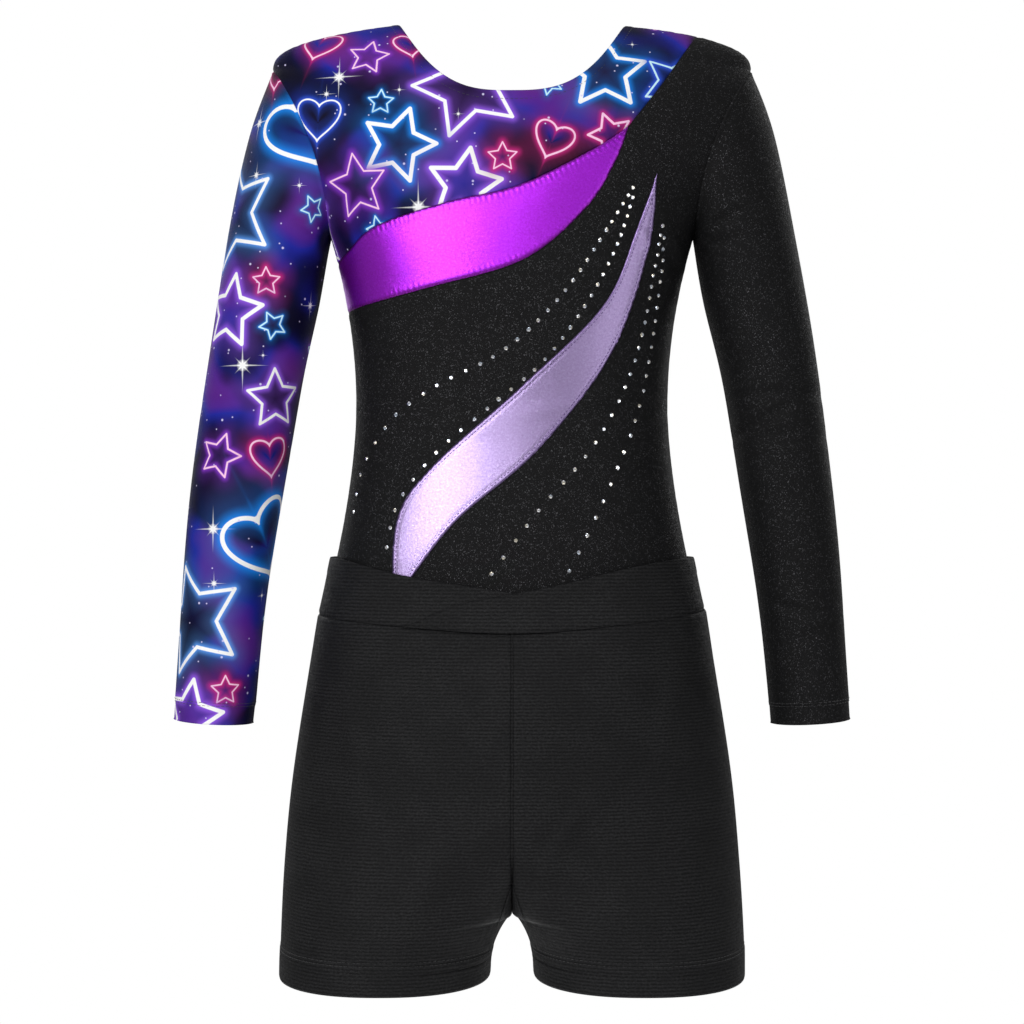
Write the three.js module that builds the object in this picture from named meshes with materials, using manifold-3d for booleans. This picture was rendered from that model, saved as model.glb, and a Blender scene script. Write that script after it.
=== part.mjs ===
// A child's long-sleeved gymnastics leotard with the matching crossover-waist shorts worn over it.
// Millimetres, +Z up. The front faces -Y and +X is the wearer's left. The origin is midway between
// the two high shoulder points, where the shoulder seams reach the neck opening.

import * as THREE from "three";
import { mergeVertices } from "three/addons/utils/BufferGeometryUtils.js";
import Module from "manifold-3d";

const wasm = await Module();
wasm.setup();

// ---- Driving dimensions ---------------------------------------------------------------------

const cloth = 1.2; // wall of the stretch knit, turned edges included
const elastic = 0.8; // thickness of the elastics, the lining and the labels
const seamGap = 0.3; // space between two pieces that meet at a seam or lie on each other
const fullness = 2.3; // exponent of the body's sections: 2 is an ellipse, more is squarer

// Leotard, trunk
const neckHalf = 70; // half width of the neck opening at the shoulders
const frontNeckDrop = 50.4; // depth of the front scoop
const backNeckDrop = 78; // depth of the back scoop
const scoopRound = 2.9; // how square the scoop's bottom is
const shoulderHalf = 148; // half breadth at the shoulder's outer end
const shoulderDrop = 29; // how far the shoulder slopes down to there
const armholeHeight = 102; // from the shoulder's outer end to the underarm
const armholeHalfDepth = 40; // half of the armhole, front to back
const chestHalf = 112.5; // half breadth at the underarm
const chestDepth = 62; // half depth of the chest, front and back alike
const waistHalf = 96.2; // half breadth at the waist
const waistDepth = 56; // half depth at the waist
const waistBelowArm = 107; // from the underarm to the waist
const hipBelowWaist = 92; // from the waist to the hip, where the shorts' band sits
const hipHalf = 108.5; // half breadth of the hip
const hipDepth = 59.5; // half depth of the hip
const briefLength = 205; // from the hip to the crotch
const legCutRise = 137; // how high the leg openings are cut above the crotch
const crotchHalf = 33; // half width of the crotch

// Leotard, sleeves
const sleeveLength = 400; // height of the sleeve, from the shoulder's end to the cuff
const cuffHalfWidth = 24.5;
const cuffCentre = 185; // distance of the cuff's centre from the middle plane
const cuffHalfDepth = 25;
const upperArmHalfDepth = 33;

// Leotard, trims
const elasticWidth = 6;
const edgeInset = 1.6; // from a turned edge to its elastic
const liningHeight = 58; // how far the crotch lining reaches up
const appliqueThickness = 0.8;
const labelWidth = 28;
const labelHeight = 22;

// Shorts
const bandTop = -329; // height of the band's top edge at the side seams
const bandHeight = 35; // height of the band at the side seams
const bandFrontDip = 9; // how much lower the band's seam lies at the centre front
const bandSeamTilt = 3; // how much higher it lies at the wearer's left side than at the right
const shortsEase = 2.6; // space between the leotard's hip and the inside of the band
const shortsFlare = 30.9; // how much wider than the band the hem is, each side
const flareRound = 1.85;
const bellyDepth = 9; // how far the front stands out below the band
const seatDepth = 21; // how far the seat stands out below the band
const shortsRise = 218; // from the band's top to the crotch
const inseam = 39; // from the crotch to the hem
const legSpread = 13.5; // half of the space between the legs at the hem
const valleyHeight = 60; // how far above the crotch the legs begin to part
const crossOver = 62; // how far the upper layer of the band passes the middle
const crossDrop = 22; // how far its top edge falls from the side to the middle
const lapStep = 10; // width over which the upper layer comes down to the under layer's level
const waistElasticWidth = 8;
const gussetHalf = 8; // half width of the crotch gusset at its middle
const gussetReach = 26; // how far the gusset runs up the seam and down the legs

// ---- Heights worked out from them -----------------------------------------------------------

const shoulderZ = -shoulderDrop;
const underarmZ = shoulderZ - armholeHeight;
const waistZ = underarmZ - waistBelowArm;
const hipZ = waistZ - hipBelowWaist;
const briefZ = hipZ - briefLength;
const legCutZ = briefZ + legCutRise;
const cuffZ = shoulderZ - sleeveLength;
const crotchZ = bandTop - shortsRise;
const hemZ = crotchZ - inseam;
const bandSeamZ = bandTop - bandHeight;
const bandHalf = hipHalf + shortsEase + cloth;
const bandDepth = hipDepth + shortsEase + cloth;
const far = 400; // reach of the cutting shapes beyond the garment
const crotchFold = 8; // half length of the shorts' crotch, front to back

const ease = (t) => 0.5 - 0.5 * Math.cos(Math.PI * THREE.MathUtils.clamp(t, 0, 1));
const lerp = THREE.MathUtils.lerp;

// ---- Solids ---------------------------------------------------------------------------------

function solidOf(geometry) {
  const bare = geometry.index ? geometry.toNonIndexed() : geometry.clone();
  bare.deleteAttribute("normal");
  bare.deleteAttribute("uv");
  const merged = mergeVertices(bare, 1e-4);
  const vertProperties = new Float32Array(merged.attributes.position.array);
  const triVerts = new Uint32Array(merged.index.array);
  return new wasm.Manifold(new wasm.Mesh({ numProp: 3, vertProperties, triVerts }));
}

// A closed solid through rings of equal point count, listed from the lowest ring to the highest.
function loft(rings) {
  const size = rings[0].length;
  const points = rings.flat();
  const faces = [];
  for (let k = 0; k + 1 < rings.length; k++)
    for (let i = 0; i < size; i++) {
      const j = (i + 1) % size;
      const [a, b] = [k * size + i, k * size + j];
      faces.push(a, b, b + size, a, b + size, a + size);
    }
  for (const [base, up] of [[0, false], [(rings.length - 1) * size, true]]) {
    const centre = new THREE.Vector3();
    for (let i = 0; i < size; i++) centre.addScaledVector(points[base + i], 1 / size);
    points.push(centre);
    for (let i = 0; i < size; i++) {
      const [a, b] = [base + i, base + ((i + 1) % size)];
      faces.push(...(up ? [a, b, points.length - 1] : [b, a, points.length - 1]));
    }
  }
  const geometry = new THREE.BufferGeometry().setFromPoints(points).setIndex(faces);
  return solidOf(geometry);
}

// The upright prism of an outline drawn in X and Z, on the front (y < 0), the back, or through both.
function prism(points, side = "both", clear = seamGap / 2) {
  const shape = new THREE.Shape(points.map(([x, z]) => new THREE.Vector2(x, z)));
  const depth = side === "both" ? 2 * far : far;
  const geometry = new THREE.ExtrudeGeometry(shape, { depth, bevelEnabled: false, steps: 1 });
  geometry.rotateX(Math.PI / 2);
  geometry.translate(0, { both: far, front: -clear, back: far + clear }[side], 0);
  return solidOf(geometry);
}

// A strip along an open line in X and Z, from `near` to `wide` on the left of its direction.
function strip(line, near, wide, side) {
  const shifted = (distance) =>
    line.map(([x, z], i) => {
      const [ax, az] = line[Math.max(i - 1, 0)];
      const [bx, bz] = line[Math.min(i + 1, line.length - 1)];
      const length = Math.hypot(bx - ax, bz - az);
      return [x - ((bz - az) * distance) / length, z + ((bx - ax) * distance) / length];
    });
  return prism([...shifted(near), ...shifted(wide).reverse()], side);
}

const slit = (line, side) => strip(line, -seamGap / 2, seamGap / 2, side);

// The piece itself, without the grains that two cuts along the same facet can leave.
const wholePiece = (solid) =>
  solid.decompose().reduce((most, body) => (body.volume() > most.volume() ? body : most));

// A smooth line through a few points in X and Z.
function smooth(points, segments) {
  const curve = new THREE.SplineCurve(points.map(([x, z]) => new THREE.Vector2(x, z)));
  return curve.getPoints(segments).map(({ x, y }) => [x, y]);
}

const mirrored = (line) => line.map(([x, z]) => [-x, z]).reverse();

// ---- The trunk's surface --------------------------------------------------------------------

// Half breadth of the trunk, measured to the armhole's seam where there is one.
function trunkHalf(z) {
  if (z > shoulderZ) return neckHalf + (shoulderHalf - neckHalf) * (1 - (1 - z / shoulderZ) ** 2.8);
  if (z > underarmZ)
    return chestHalf + (shoulderHalf - chestHalf) * ((z - underarmZ) / armholeHeight) ** 1.9;
  if (z > waistZ)
    return waistHalf + (chestHalf - waistHalf) * ((z - waistZ) / waistBelowArm) ** 2;
  if (z > hipZ) return waistHalf + (hipHalf - waistHalf) * ((waistZ - z) / hipBelowWaist) ** 1.6;
  return hipHalf;
}

// Half depth of the trunk at its middle. The brief's front and back close into the crotch.
function trunkDepth(z) {
  const chestZ = underarmZ + 21;
  if (z > chestZ)
    return Math.max(2, chestDepth * Math.sqrt(Math.max(0, 1 - (1 - z / chestZ) ** 2.2)));
  if (z > waistZ) return lerp(chestDepth, waistDepth, ease((chestZ - z) / (chestZ - waistZ)));
  if (z > hipZ) return lerp(waistDepth, hipDepth, ease((waistZ - z) / hipBelowWaist));
  const closing = Math.max(0, (legCutZ - z) / legCutRise);
  return Math.max(2, hipDepth * Math.sqrt(Math.max(0, 1 - closing ** 2.4)));
}

// Half depth of the armhole at height z.
function armholeDepth(z) {
  const rise = THREE.MathUtils.clamp((z - underarmZ) / armholeHeight, 0, 1);
  return armholeHalfDepth * Math.sqrt(4 * rise * (1 - rise));
}

// Half breadth of the section that passes through the armhole's seam at its right depth.
function sectionHalf(z) {
  const opened = Math.min(armholeDepth(z) / trunkDepth(z), 0.95);
  return trunkHalf(z) / (1 - opened ** fullness) ** (1 / fullness);
}

// A superellipse ring, anticlockwise from above, with its own depth in front and behind.
function bodyRing(z, half, front, back, halfCount) {
  return Array.from({ length: 2 * halfCount }, (_, i) => {
    const angle = (Math.PI * i) / halfCount;
    const [c, s] = [Math.cos(angle), Math.sin(angle)];
    const y = Math.abs(s) ** (2 / fullness) * (s < 0 ? -front : back);
    return new THREE.Vector3(half * Math.sign(c) * Math.abs(c) ** (2 / fullness), y, z);
  });
}

const trunkHeights = [
  ...[1, 0.95, 0.85, 0.66, 0.4].map((t) => lerp(legCutZ, briefZ, t)),
  ...[0].map((t) => lerp(legCutZ, hipZ, t)),
  ...[0, 0.5].map((t) => lerp(hipZ, waistZ, t)),
  ...[0, 0.5].map((t) => lerp(waistZ, underarmZ, t)),
  ...[0, 0.12, 0.35, 0.62, 0.85].map((t) => lerp(underarmZ, shoulderZ, t)),
  ...[0, 0.3, 0.6, 0.85, 1].map((t) => lerp(shoulderZ, 0, t)),
];

// The trunk as a filled body, grown outwards by `grow` (inwards when it is negative).
function trunk(grow) {
  const rings = trunkHeights.map((z) => {
    const lift = grow * (2 * ease((z - legCutZ) / (underarmZ - legCutZ)) - 1);
    const depth = Math.max(0.6, trunkDepth(z) + grow);
    return bodyRing(z + lift, sectionHalf(z) + grow, depth, depth, 16);
  });
  return loft(rings);
}

const skin = (outer, inner) => trunk(outer).subtract(trunk(inner));

// ---- Outlines of the trunk's openings -------------------------------------------------------

// The neck opening's edge from the wearer's right shoulder to the left.
function neckline(drop) {
  return Array.from({ length: 17 }, (_, i) => {
    const angle = (Math.PI * i) / 16;
    const x = -neckHalf * Math.cos(angle);
    return [x, -drop * (1 - (Math.abs(x) / neckHalf) ** scoopRound)];
  });
}

const frontNeck = neckline(frontNeckDrop);
const backNeck = neckline(backNeckDrop);
const aboveNeck = (line) => [...line, [neckHalf, far], [-neckHalf, far]];

// The armhole's seam from the underarm to the shoulder, on the wearer's left.
const armholeLine = Array.from({ length: 11 }, (_, i) => {
  const z = lerp(underarmZ, shoulderZ, i / 10);
  return [trunkHalf(z) - seamGap / 2, z];
});
const outsideArmhole = [
  [armholeLine[0][0] + 0.4, underarmZ - 1],
  ...armholeLine,
  [armholeLine.at(-1)[0] + 1, shoulderZ + 1],
  [far, shoulderZ + 1],
  [far, underarmZ - 1],
];

// The leg openings' edge from the side seam to the crotch, on the wearer's left.
const legEdge = (fullnessOut) =>
  smooth(
    [
      [hipHalf + 6, legCutZ + 2],
      [hipHalf - 12, legCutZ - legCutRise * 0.09],
      [lerp(crotchHalf, hipHalf, 0.42 + fullnessOut), lerp(legCutZ, briefZ, 0.45)],
      [lerp(crotchHalf, hipHalf, 0.12 + fullnessOut * 0.7), lerp(legCutZ, briefZ, 0.8)],
      [crotchHalf, briefZ + 2],
      [crotchHalf, briefZ - 6],
    ],
    12,
  );
const frontLegEdge = legEdge(0);
const backLegEdge = legEdge(0.22);
const belowLegEdge = (line) => [...line, [far, briefZ - 6], [far, legCutZ + 2]];

// ---- Seams of the front and the back --------------------------------------------------------

// The bright band's upper edge, from the wearer's right side seam up to its point by the shoulder.
const bandUpperEdge = smooth(
  [[-124, -156], [-102, -145], [-82.8, -130.7], [-38.4, -117.7], [4.7, -107.7], [47.3, -86.6], [69.4, -71.8]],
  14,
);
const bandLowerEdge = smooth(
  [[-124, -182], [-99.8, -178.5], [-52.3, -168.5], [6.5, -152], [44.4, -120.7], [62.1, -92], [69.4, -71.8]],
  14,
);
// The seam from that point over the wearer's left shoulder.
const shoulderCut = smooth([[69.4, -71.8], [88.8, -46.3], [103, -25], [118, 8]], 6);
// The lower swoosh, an applied piece with a fine point at the top.
const swooshUpperEdge = smooth(
  [[86.4, -99.3], [75.3, -129.4], [54.8, -177.3], [6.9, -225.4], [-47.7, -274.4], [-68.4, -304.9], [-71.6, -350]],
  16,
);
const swooshLowerEdge = smooth(
  [[86.4, -99.3], [81.9, -143.6], [59.1, -207.1], [15.1, -264.9], [-33.9, -307.7], [-66, -350]],
  14,
);
// The back's seam, from the wearer's right side seam over to the left shoulder.
const backCut = smooth([[-124, -160], [-84, -140], [-10, -126], [60, -92], [98, -38], [118, 8]], 12);

const aboveFrontSeams = [...bandUpperEdge, ...shoulderCut.slice(1), [118, far], [-far, far], [-far, -156]];
const brightBand = [...bandLowerEdge, ...bandUpperEdge.slice(0, -1).reverse()];
const aboveBackSeam = [...backCut, [118, far], [-far, far], [-far, -160]];

// ---- Leotard trunk pieces -------------------------------------------------------------------

function openShell(shell) {
  return shell
    .subtract(prism(aboveNeck(frontNeck), "front", -1))
    .subtract(prism(aboveNeck(backNeck), "back", -1))
    .subtract(prism(outsideArmhole))
    .subtract(prism(mirrored(outsideArmhole)));
}

function openLegs(shell) {
  return shell
    .subtract(prism(belowLegEdge(frontLegEdge), "front", -1))
    .subtract(prism(mirrored(belowLegEdge(frontLegEdge)), "front", -1))
    .subtract(prism(belowLegEdge(backLegEdge), "back", -1))
    .subtract(prism(mirrored(belowLegEdge(backLegEdge)), "back", -1));
}

const wholePlane = [[-far, -2 * far], [far, -2 * far], [far, far], [-far, far]];

function leotardPanels() {
  const shell = openLegs(openShell(skin(0, -cloth)));
  const front = shell.intersect(prism(wholePlane, "front"));
  const back = shell.intersect(prism(wholePlane, "back"));
  const frontSlit = slit(bandUpperEdge).add(slit(shoulderCut)).add(slit(bandLowerEdge));
  const yokeArea = prism(aboveFrontSeams);
  const bandArea = prism(brightBand);
  const backSlit = slit(backCut);
  return {
    frontYoke: front.intersect(yokeArea).subtract(frontSlit),
    brightBand: front.intersect(bandArea).subtract(frontSlit),
    frontBody: front.subtract(yokeArea).subtract(bandArea).subtract(frontSlit),
    backYoke: back.intersect(prism(aboveBackSeam)).subtract(backSlit),
    backBody: back.subtract(prism(aboveBackSeam)).subtract(backSlit),
  };
}

function lowerSwoosh() {
  const outline = [...swooshUpperEdge, ...swooshLowerEdge.slice(1).reverse()];
  return skin(seamGap + appliqueThickness, seamGap).intersect(prism(outline, "front"));
}

// ---- Elastics, lining and labels, on the inside ---------------------------------------------

const insideLayer = () => skin(-cloth - seamGap, -cloth - seamGap - elastic);

function neckElastic() {
  const [near, wide] = [-edgeInset, -edgeInset - elasticWidth];
  const layer = insideLayer();
  const front = layer.intersect(strip(frontNeck, near, wide, "front"));
  const back = layer.intersect(strip(backNeck, near, wide, "back"));
  const bridge = layer.intersect(prism(shoulderPatch()).add(prism(mirrored(shoulderPatch()))));
  return front.add(back).add(bridge);
}

// Where the neck elastic passes over the shoulder.
function shoulderPatch() {
  const [inner, outer] = [neckHalf + edgeInset, neckHalf + edgeInset + elasticWidth];
  return [[inner, -16], [outer, -16], [outer, far], [inner, far]];
}

// The elastic of one leg opening; `way` is -1 on the wearer's right and 1 on the left.
function legElastic(way) {
  const [near, wide] = [-edgeInset, -edgeInset - elasticWidth];
  const layer = insideLayer();
  const band = (edge) => {
    const [line, from, to] = way > 0 ? [edge, near, wide] : [mirrored(edge), near, wide];
    return layer.intersect(strip(line, from, to, "both"));
  };
  const [front, back] = [band(frontLegEdge), band(backLegEdge)];
  const half = (side) => prism(wholePlane, side, -0.01);
  return front.intersect(half("front")).add(back.intersect(half("back")));
}

function crotchLining() {
  const half = crotchHalf - edgeInset - elasticWidth - 4;
  const outline = [[-half, -far * 2], [half, -far * 2], [half, briefZ + liningHeight], [-half, briefZ + liningHeight]];
  return insideLayer().intersect(prism(outline));
}

// A woven label lying on the inside of the back, centred on x, with its top edge at z.
function tag(layer, x, z) {
  const [left, right, low] = [x - labelWidth / 2, x + labelWidth / 2, z - labelHeight];
  return layer.intersect(prism([[left, low], [right, low], [right, z], [left, z]], "back"));
}

// ---- Sleeves --------------------------------------------------------------------------------

const sleeveSteps = 11;
const sleeveSides = 16;

// The sleeve's outer and inner lines as seen from the front, on the wearer's left.
const sleeveOuter = new THREE.SplineCurve(
  [
    [shoulderHalf, shoulderZ],
    [163, -71],
    [178.5, -145],
    [193, -244],
    [203, -330],
    [cuffCentre + cuffHalfWidth, cuffZ],
  ].map(([x, z]) => new THREE.Vector2(x, z)),
);
const sleeveInner = new THREE.SplineCurve(
  [
    [chestHalf, underarmZ],
    [119, -172],
    [131, -225],
    [145, -306],
    [154, -368],
    [cuffCentre - cuffHalfWidth, cuffZ - 3],
  ].map(([x, z]) => new THREE.Vector2(x, z)),
);

function sleeveRing(step) {
  const t = step / sleeveSteps;
  const outer = sleeveOuter.getPointAt(t);
  const inner = sleeveInner.getPointAt((t * t) / (t + 0.34 * (1 - t)));
  const depth = lerp(upperArmHalfDepth, cuffHalfDepth, ease(t));
  const opening = lerp(armholeHalfDepth, depth, ease(t / 0.35));
  const onSeam = 1 - ease(t / 0.3); // share of the armhole's own curve
  return Array.from({ length: sleeveSides }, (_, i) => {
    const angle = (2 * Math.PI * i) / sleeveSides;
    const across = (1 + Math.cos(angle)) / 2;
    const flat = new THREE.Vector2().lerpVectors(inner, outer, across);
    const seamZ = lerp(underarmZ, shoulderZ, across);
    const bow = trunkHalf(seamZ) - lerp(chestHalf, shoulderHalf, across);
    return new THREE.Vector3(flat.x + onSeam * bow, opening * Math.sin(angle), flat.y);
  });
}

// A tube wall: the outer rings, the same rings moved inwards by the cloth, and a rim at each end.
function tubeWall(rings, wall) {
  const size = rings[0].length;
  const inner = rings.map((ring, k) =>
    ring.map((point, i) => {
      const along = rings[Math.min(k + 1, rings.length - 1)][i]
        .clone()
        .sub(rings[Math.max(k - 1, 0)][i]);
      const around = ring[(i + 1) % size].clone().sub(ring[(i + size - 1) % size]);
      return point.clone().addScaledVector(along.cross(around).normalize(), -wall);
    }),
  );
  const loops = [...rings, ...inner.reverse()];
  const faces = [];
  for (let k = 0; k < loops.length; k++)
    for (let i = 0; i < size; i++) {
      const [j, next] = [(i + 1) % size, (k + 1) % loops.length];
      const [a, b, c, d] = [k * size + i, k * size + j, next * size + j, next * size + i];
      faces.push(a, c, b, a, d, c);
    }
  return solidOf(new THREE.BufferGeometry().setFromPoints(loops.flat()).setIndex(faces));
}

// The sleeve on the wearer's left, trimmed to meet the armhole's seam.
function sleeve() {
  const rings = Array.from({ length: sleeveSteps + 1 }, (_, step) => sleeveRing(step));
  const trunkSide = armholeLine.map(([x, z]) => [x + seamGap, z]);
  const clear = [[0, underarmZ - 1], [trunkSide[0][0], underarmZ - 1], ...trunkSide, [0, shoulderZ]];
  return tubeWall(rings, cloth).subtract(prism(clear));
}

const mirror = (solid) => solid.mirror([1, 0, 0]);

// ---- Shorts ---------------------------------------------------------------------------------

function shortsHalf(z) {
  const t = THREE.MathUtils.clamp((bandTop - z) / (bandTop - hemZ), 0, 1);
  return bandHalf + shortsFlare * (1 - (1 - t) ** flareRound);
}

const shortsFront = (z) => bandDepth + bellyDepth * ease((bandTop - z) / 95);

function shortsBack(z) {
  const seat = ease((bandTop - z) / 120) - 0.35 * ease((crotchZ + 30 - z) / 60);
  return bandDepth + seatDepth * seat;
}

// Inner edge of a leg: the crotch, then the space between the legs.
function legInside(z) {
  const t = THREE.MathUtils.clamp((crotchZ - z) / inseam, 0, 1);
  return legSpread * (1 - (1 - t) ** 2.4);
}

const lobeSteps = 10; // points along the front of one leg's section

// Fractions across one leg, from its outer edge to its inner one, with the section's depth at each.
const lobe = Array.from({ length: lobeSteps + 1 }, (_, i) => {
  const angle = (Math.PI * i) / lobeSteps;
  const across = Math.sign(Math.cos(angle)) * Math.abs(Math.cos(angle)) ** (2 / fullness);
  return { across: (1 + across) / 2, depth: Math.sin(angle) ** (2 / fullness) };
});
lobe[lobeSteps].depth = 0;

// One ring around seat and thighs: a single oval that parts into two lobes above the crotch.
function seatRing(z, grow) {
  const half = shortsHalf(z) + grow;
  const parted = ease((crotchZ + valleyHeight - z) / valleyHeight);
  const fold = (crotchFold + grow) / bandDepth;
  const quarter = lobe.map(({ across, depth }) => {
    const whole = Math.max(0, 1 - across ** fullness) ** (1 / fullness);
    return [across * half, lerp(whole, Math.max(depth, across < 0.5 ? fold : 0), parted)];
  });
  const arc = [...quarter, ...quarter.slice(0, -1).reverse().map(([x, share]) => [-x, share])];
  const back = arc.map(([x, share]) => [x, share * (shortsBack(z) + grow)]);
  const front = arc.slice(1, -1).map(([x, share]) => [-x, -share * (shortsFront(z) + grow)]);
  return [...back, ...front].map(([x, y]) => new THREE.Vector3(x, y, z));
}

function legRing(z, grow) {
  const [from, to] = [legInside(z) - grow, shortsHalf(z) + grow];
  const point = ({ across, depth }, way) => {
    const reach = (way > 0 ? shortsBack(z) : shortsFront(z)) + grow;
    return new THREE.Vector3(lerp(from, to, across), way * depth * reach, z);
  };
  const front = lobe.slice(1, -1).reverse();
  return [...lobe.map((step) => point(step, 1)), ...front.map((step) => point(step, -1))];
}

const seatHeights = Array.from({ length: 10 }, (_, i) => lerp(bandTop, crotchZ, i / 9));
const legHeights = [0.1, 0.35, 1].map((t) => lerp(crotchZ, hemZ, t));

// The shorts as a filled body, grown outwards by `grow`; `open` runs it past the band and the hems.
function shortsBody(grow, open) {
  const top = bandTop + (open ? 28 : 8);
  const seat = [top, ...seatHeights.slice(0, -1), crotchZ - grow].map((z) => seatRing(z, grow));
  const heights = [crotchZ - grow + 1, ...legHeights, ...(open ? [hemZ - 8] : [])];
  const leg = loft(heights.map((z) => legRing(z, grow)).reverse());
  return loft(seat.reverse()).add(leg).add(mirror(leg));
}

// The seam between the band and the legs, from the wearer's right to the left.
const sideBreadth = shortsHalf(bandSeamZ) - 1;
const seamEnds = [[-sideBreadth, bandSeamZ], [sideBreadth, bandSeamZ + bandSeamTilt]];
const bandSeam = [
  [-far, bandSeamZ],
  ...smooth([seamEnds[0], [-67, bandSeamZ - 5], [0, bandSeamZ - bandFrontDip], [67, bandSeamZ - 4], seamEnds[1]], 16),
  [far, bandSeamZ + bandSeamTilt],
];
const backBandSeam = [[-far, bandSeamZ], ...seamEnds, [far, bandSeamZ + bandSeamTilt]];
// The top edges of the band's two layers at the front; each falls towards the middle.
const overTop = smooth(
  [[far, bandTop], [150, bandTop], [76.5, bandTop - 4.6], [19.5, bandTop - 17.2],
    [-crossOver / 2, bandTop - crossDrop - 5], [-crossOver, bandTop - crossDrop - 19], [-crossOver - 30, bandSeamZ - 16]],
  18,
);
const underTop = smooth(
  [[-far, bandTop], [-150, bandTop], [-66.7, bandTop - 9.8], [-10, bandTop - 18.5], [12, bandTop - 21]],
  16,
);

// The waist elastic follows the lower of the two.
const elasticLine = [...underTop.filter(([x]) => x < 0), ...overTop.filter(([x]) => x > 10).reverse()];

const below = (line) => [...line, [line.at(-1)[0], -3 * far], [line[0][0], -3 * far]];
const above = (line) => [...line, [line.at(-1)[0], far], [line[0][0], far]];
const column = (from, to) => prism([[from, -3 * far], [to, -3 * far], [to, far], [from, far]]);

const gussetEdge = [
  [-legSpread, crotchZ - gussetReach],
  [-gussetHalf, crotchZ],
  [0, crotchZ + gussetReach],
  [gussetHalf, crotchZ],
  [legSpread, crotchZ - gussetReach],
];

function legPanels() {
  const shell = shortsBody(0, false).subtract(shortsBody(-cloth, true));
  const area = prism(below(bandSeam), "front", -0.01).add(prism(below(backBandSeam), "back", -0.01));
  const seams = slit(bandSeam, "front").add(slit(backBandSeam, "back"));
  const lower = shell.intersect(area).subtract(seams);
  const gussetArea = prism(gussetEdge);
  const halves = lower
    .subtract(gussetArea)
    .subtract(slit([...gussetEdge, gussetEdge[0]]))
    .subtract(column(-seamGap / 2, seamGap / 2));
  return {
    shorts_right_leg: halves.intersect(column(-far, 0)),
    shorts_left_leg: halves.intersect(column(0, far)),
    shorts_gusset: lower.intersect(gussetArea).subtract(slit([...gussetEdge, gussetEdge[0]])),
  };
}

// The band is two layers that cross at the front and meet in a seam at the centre back.
function bandPanels() {
  const layer = (outer, inner) => shortsBody(outer, false).subtract(shortsBody(inner, true));
  const seams = slit(bandSeam, "front").add(slit(backBandSeam, "back"));
  const aboveSeam = prism(above(bandSeam), "front", -0.01).add(prism(above(backBandSeam), "back", -0.01));
  const ring = layer(0, -cloth).intersect(aboveSeam).subtract(seams);
  const backTop = prism([[-far, bandTop], [far, bandTop], [far, -far * 2], [-far, -far * 2]], "back", -0.01);
  const underArea = prism(below(underTop), "front", -0.01).add(backTop);
  const overArea = prism([...overTop, [-far, -2 * far], [far, -2 * far]], "front", -0.01).add(backTop);
  const lapTo = underTop.at(-1)[0] + seamGap;
  const lapArea = overArea.intersect(aboveSeam).subtract(seams).intersect(prism(wholePlane, "front"));
  const lap = layer(cloth + seamGap, seamGap).intersect(column(-far, lapTo + lapStep));
  const step = layer(cloth + seamGap, -cloth).intersect(column(lapTo, lapTo + lapStep));
  const frontOver = column(lapTo, far).intersect(prism(wholePlane, "front", -0.01));
  const backOver = column(seamGap, far).intersect(prism(wholePlane, "back", -0.01));
  const backUnder = column(-far, 0).add(column(-far, lapTo - seamGap).intersect(prism(wholePlane, "front", -0.01)));
  return {
    waistband_under: ring.intersect(underArea).intersect(backUnder),
    waistband_over: ring
      .intersect(overArea)
      .intersect(frontOver.add(backOver))
      .add(lap.add(step).intersect(lapArea)),
  };
}

function waistElastic() {
  const [near, wide] = [edgeInset, edgeInset + waistElasticWidth];
  const layer = shortsBody(-cloth - seamGap, true).subtract(shortsBody(-cloth - seamGap - elastic, true));
  const backStrip = [[-far, bandTop - wide], [far, bandTop - wide], [far, bandTop - near], [-far, bandTop - near]];
  return layer.intersect(strip(elasticLine, -near, -wide, "both").intersect(prism(wholePlane, "front", -0.1)).add(prism(backStrip, "back", -0.1)));
}

// ---- The garment ----------------------------------------------------------------------------

const finishes = {
  neonPrint: { color: "#3a1f8c", roughness: 0.62, metalness: 0 },
  blackSparkle: { color: "#151517", roughness: 0.55, metalness: 0.1 },
  purpleFoil: { color: "#a018cf", roughness: 0.3, metalness: 0.6 },
  lilacFoil: { color: "#a88fd0", roughness: 0.32, metalness: 0.6 },
  blackSatin: { color: "#101012", roughness: 0.5, metalness: 0 },
  elasticTape: { color: "#e4e4e0", roughness: 0.8, metalness: 0 },
  lining: { color: "#1b1b1d", roughness: 0.8, metalness: 0 },
  wovenLabel: { color: "#f3f3f1", roughness: 0.6, metalness: 0 },
};

const trunkPanels = leotardPanels();
const rightwardSleeve = sleeve();
const shortsInside = () =>
  shortsBody(-cloth - seamGap, true).subtract(shortsBody(-cloth - seamGap - elastic, true));
const neckLabelTop = -backNeckDrop - edgeInset - elasticWidth - seamGap - 2;
const bandLabelTop = bandTop - edgeInset - waistElasticWidth - seamGap;

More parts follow.
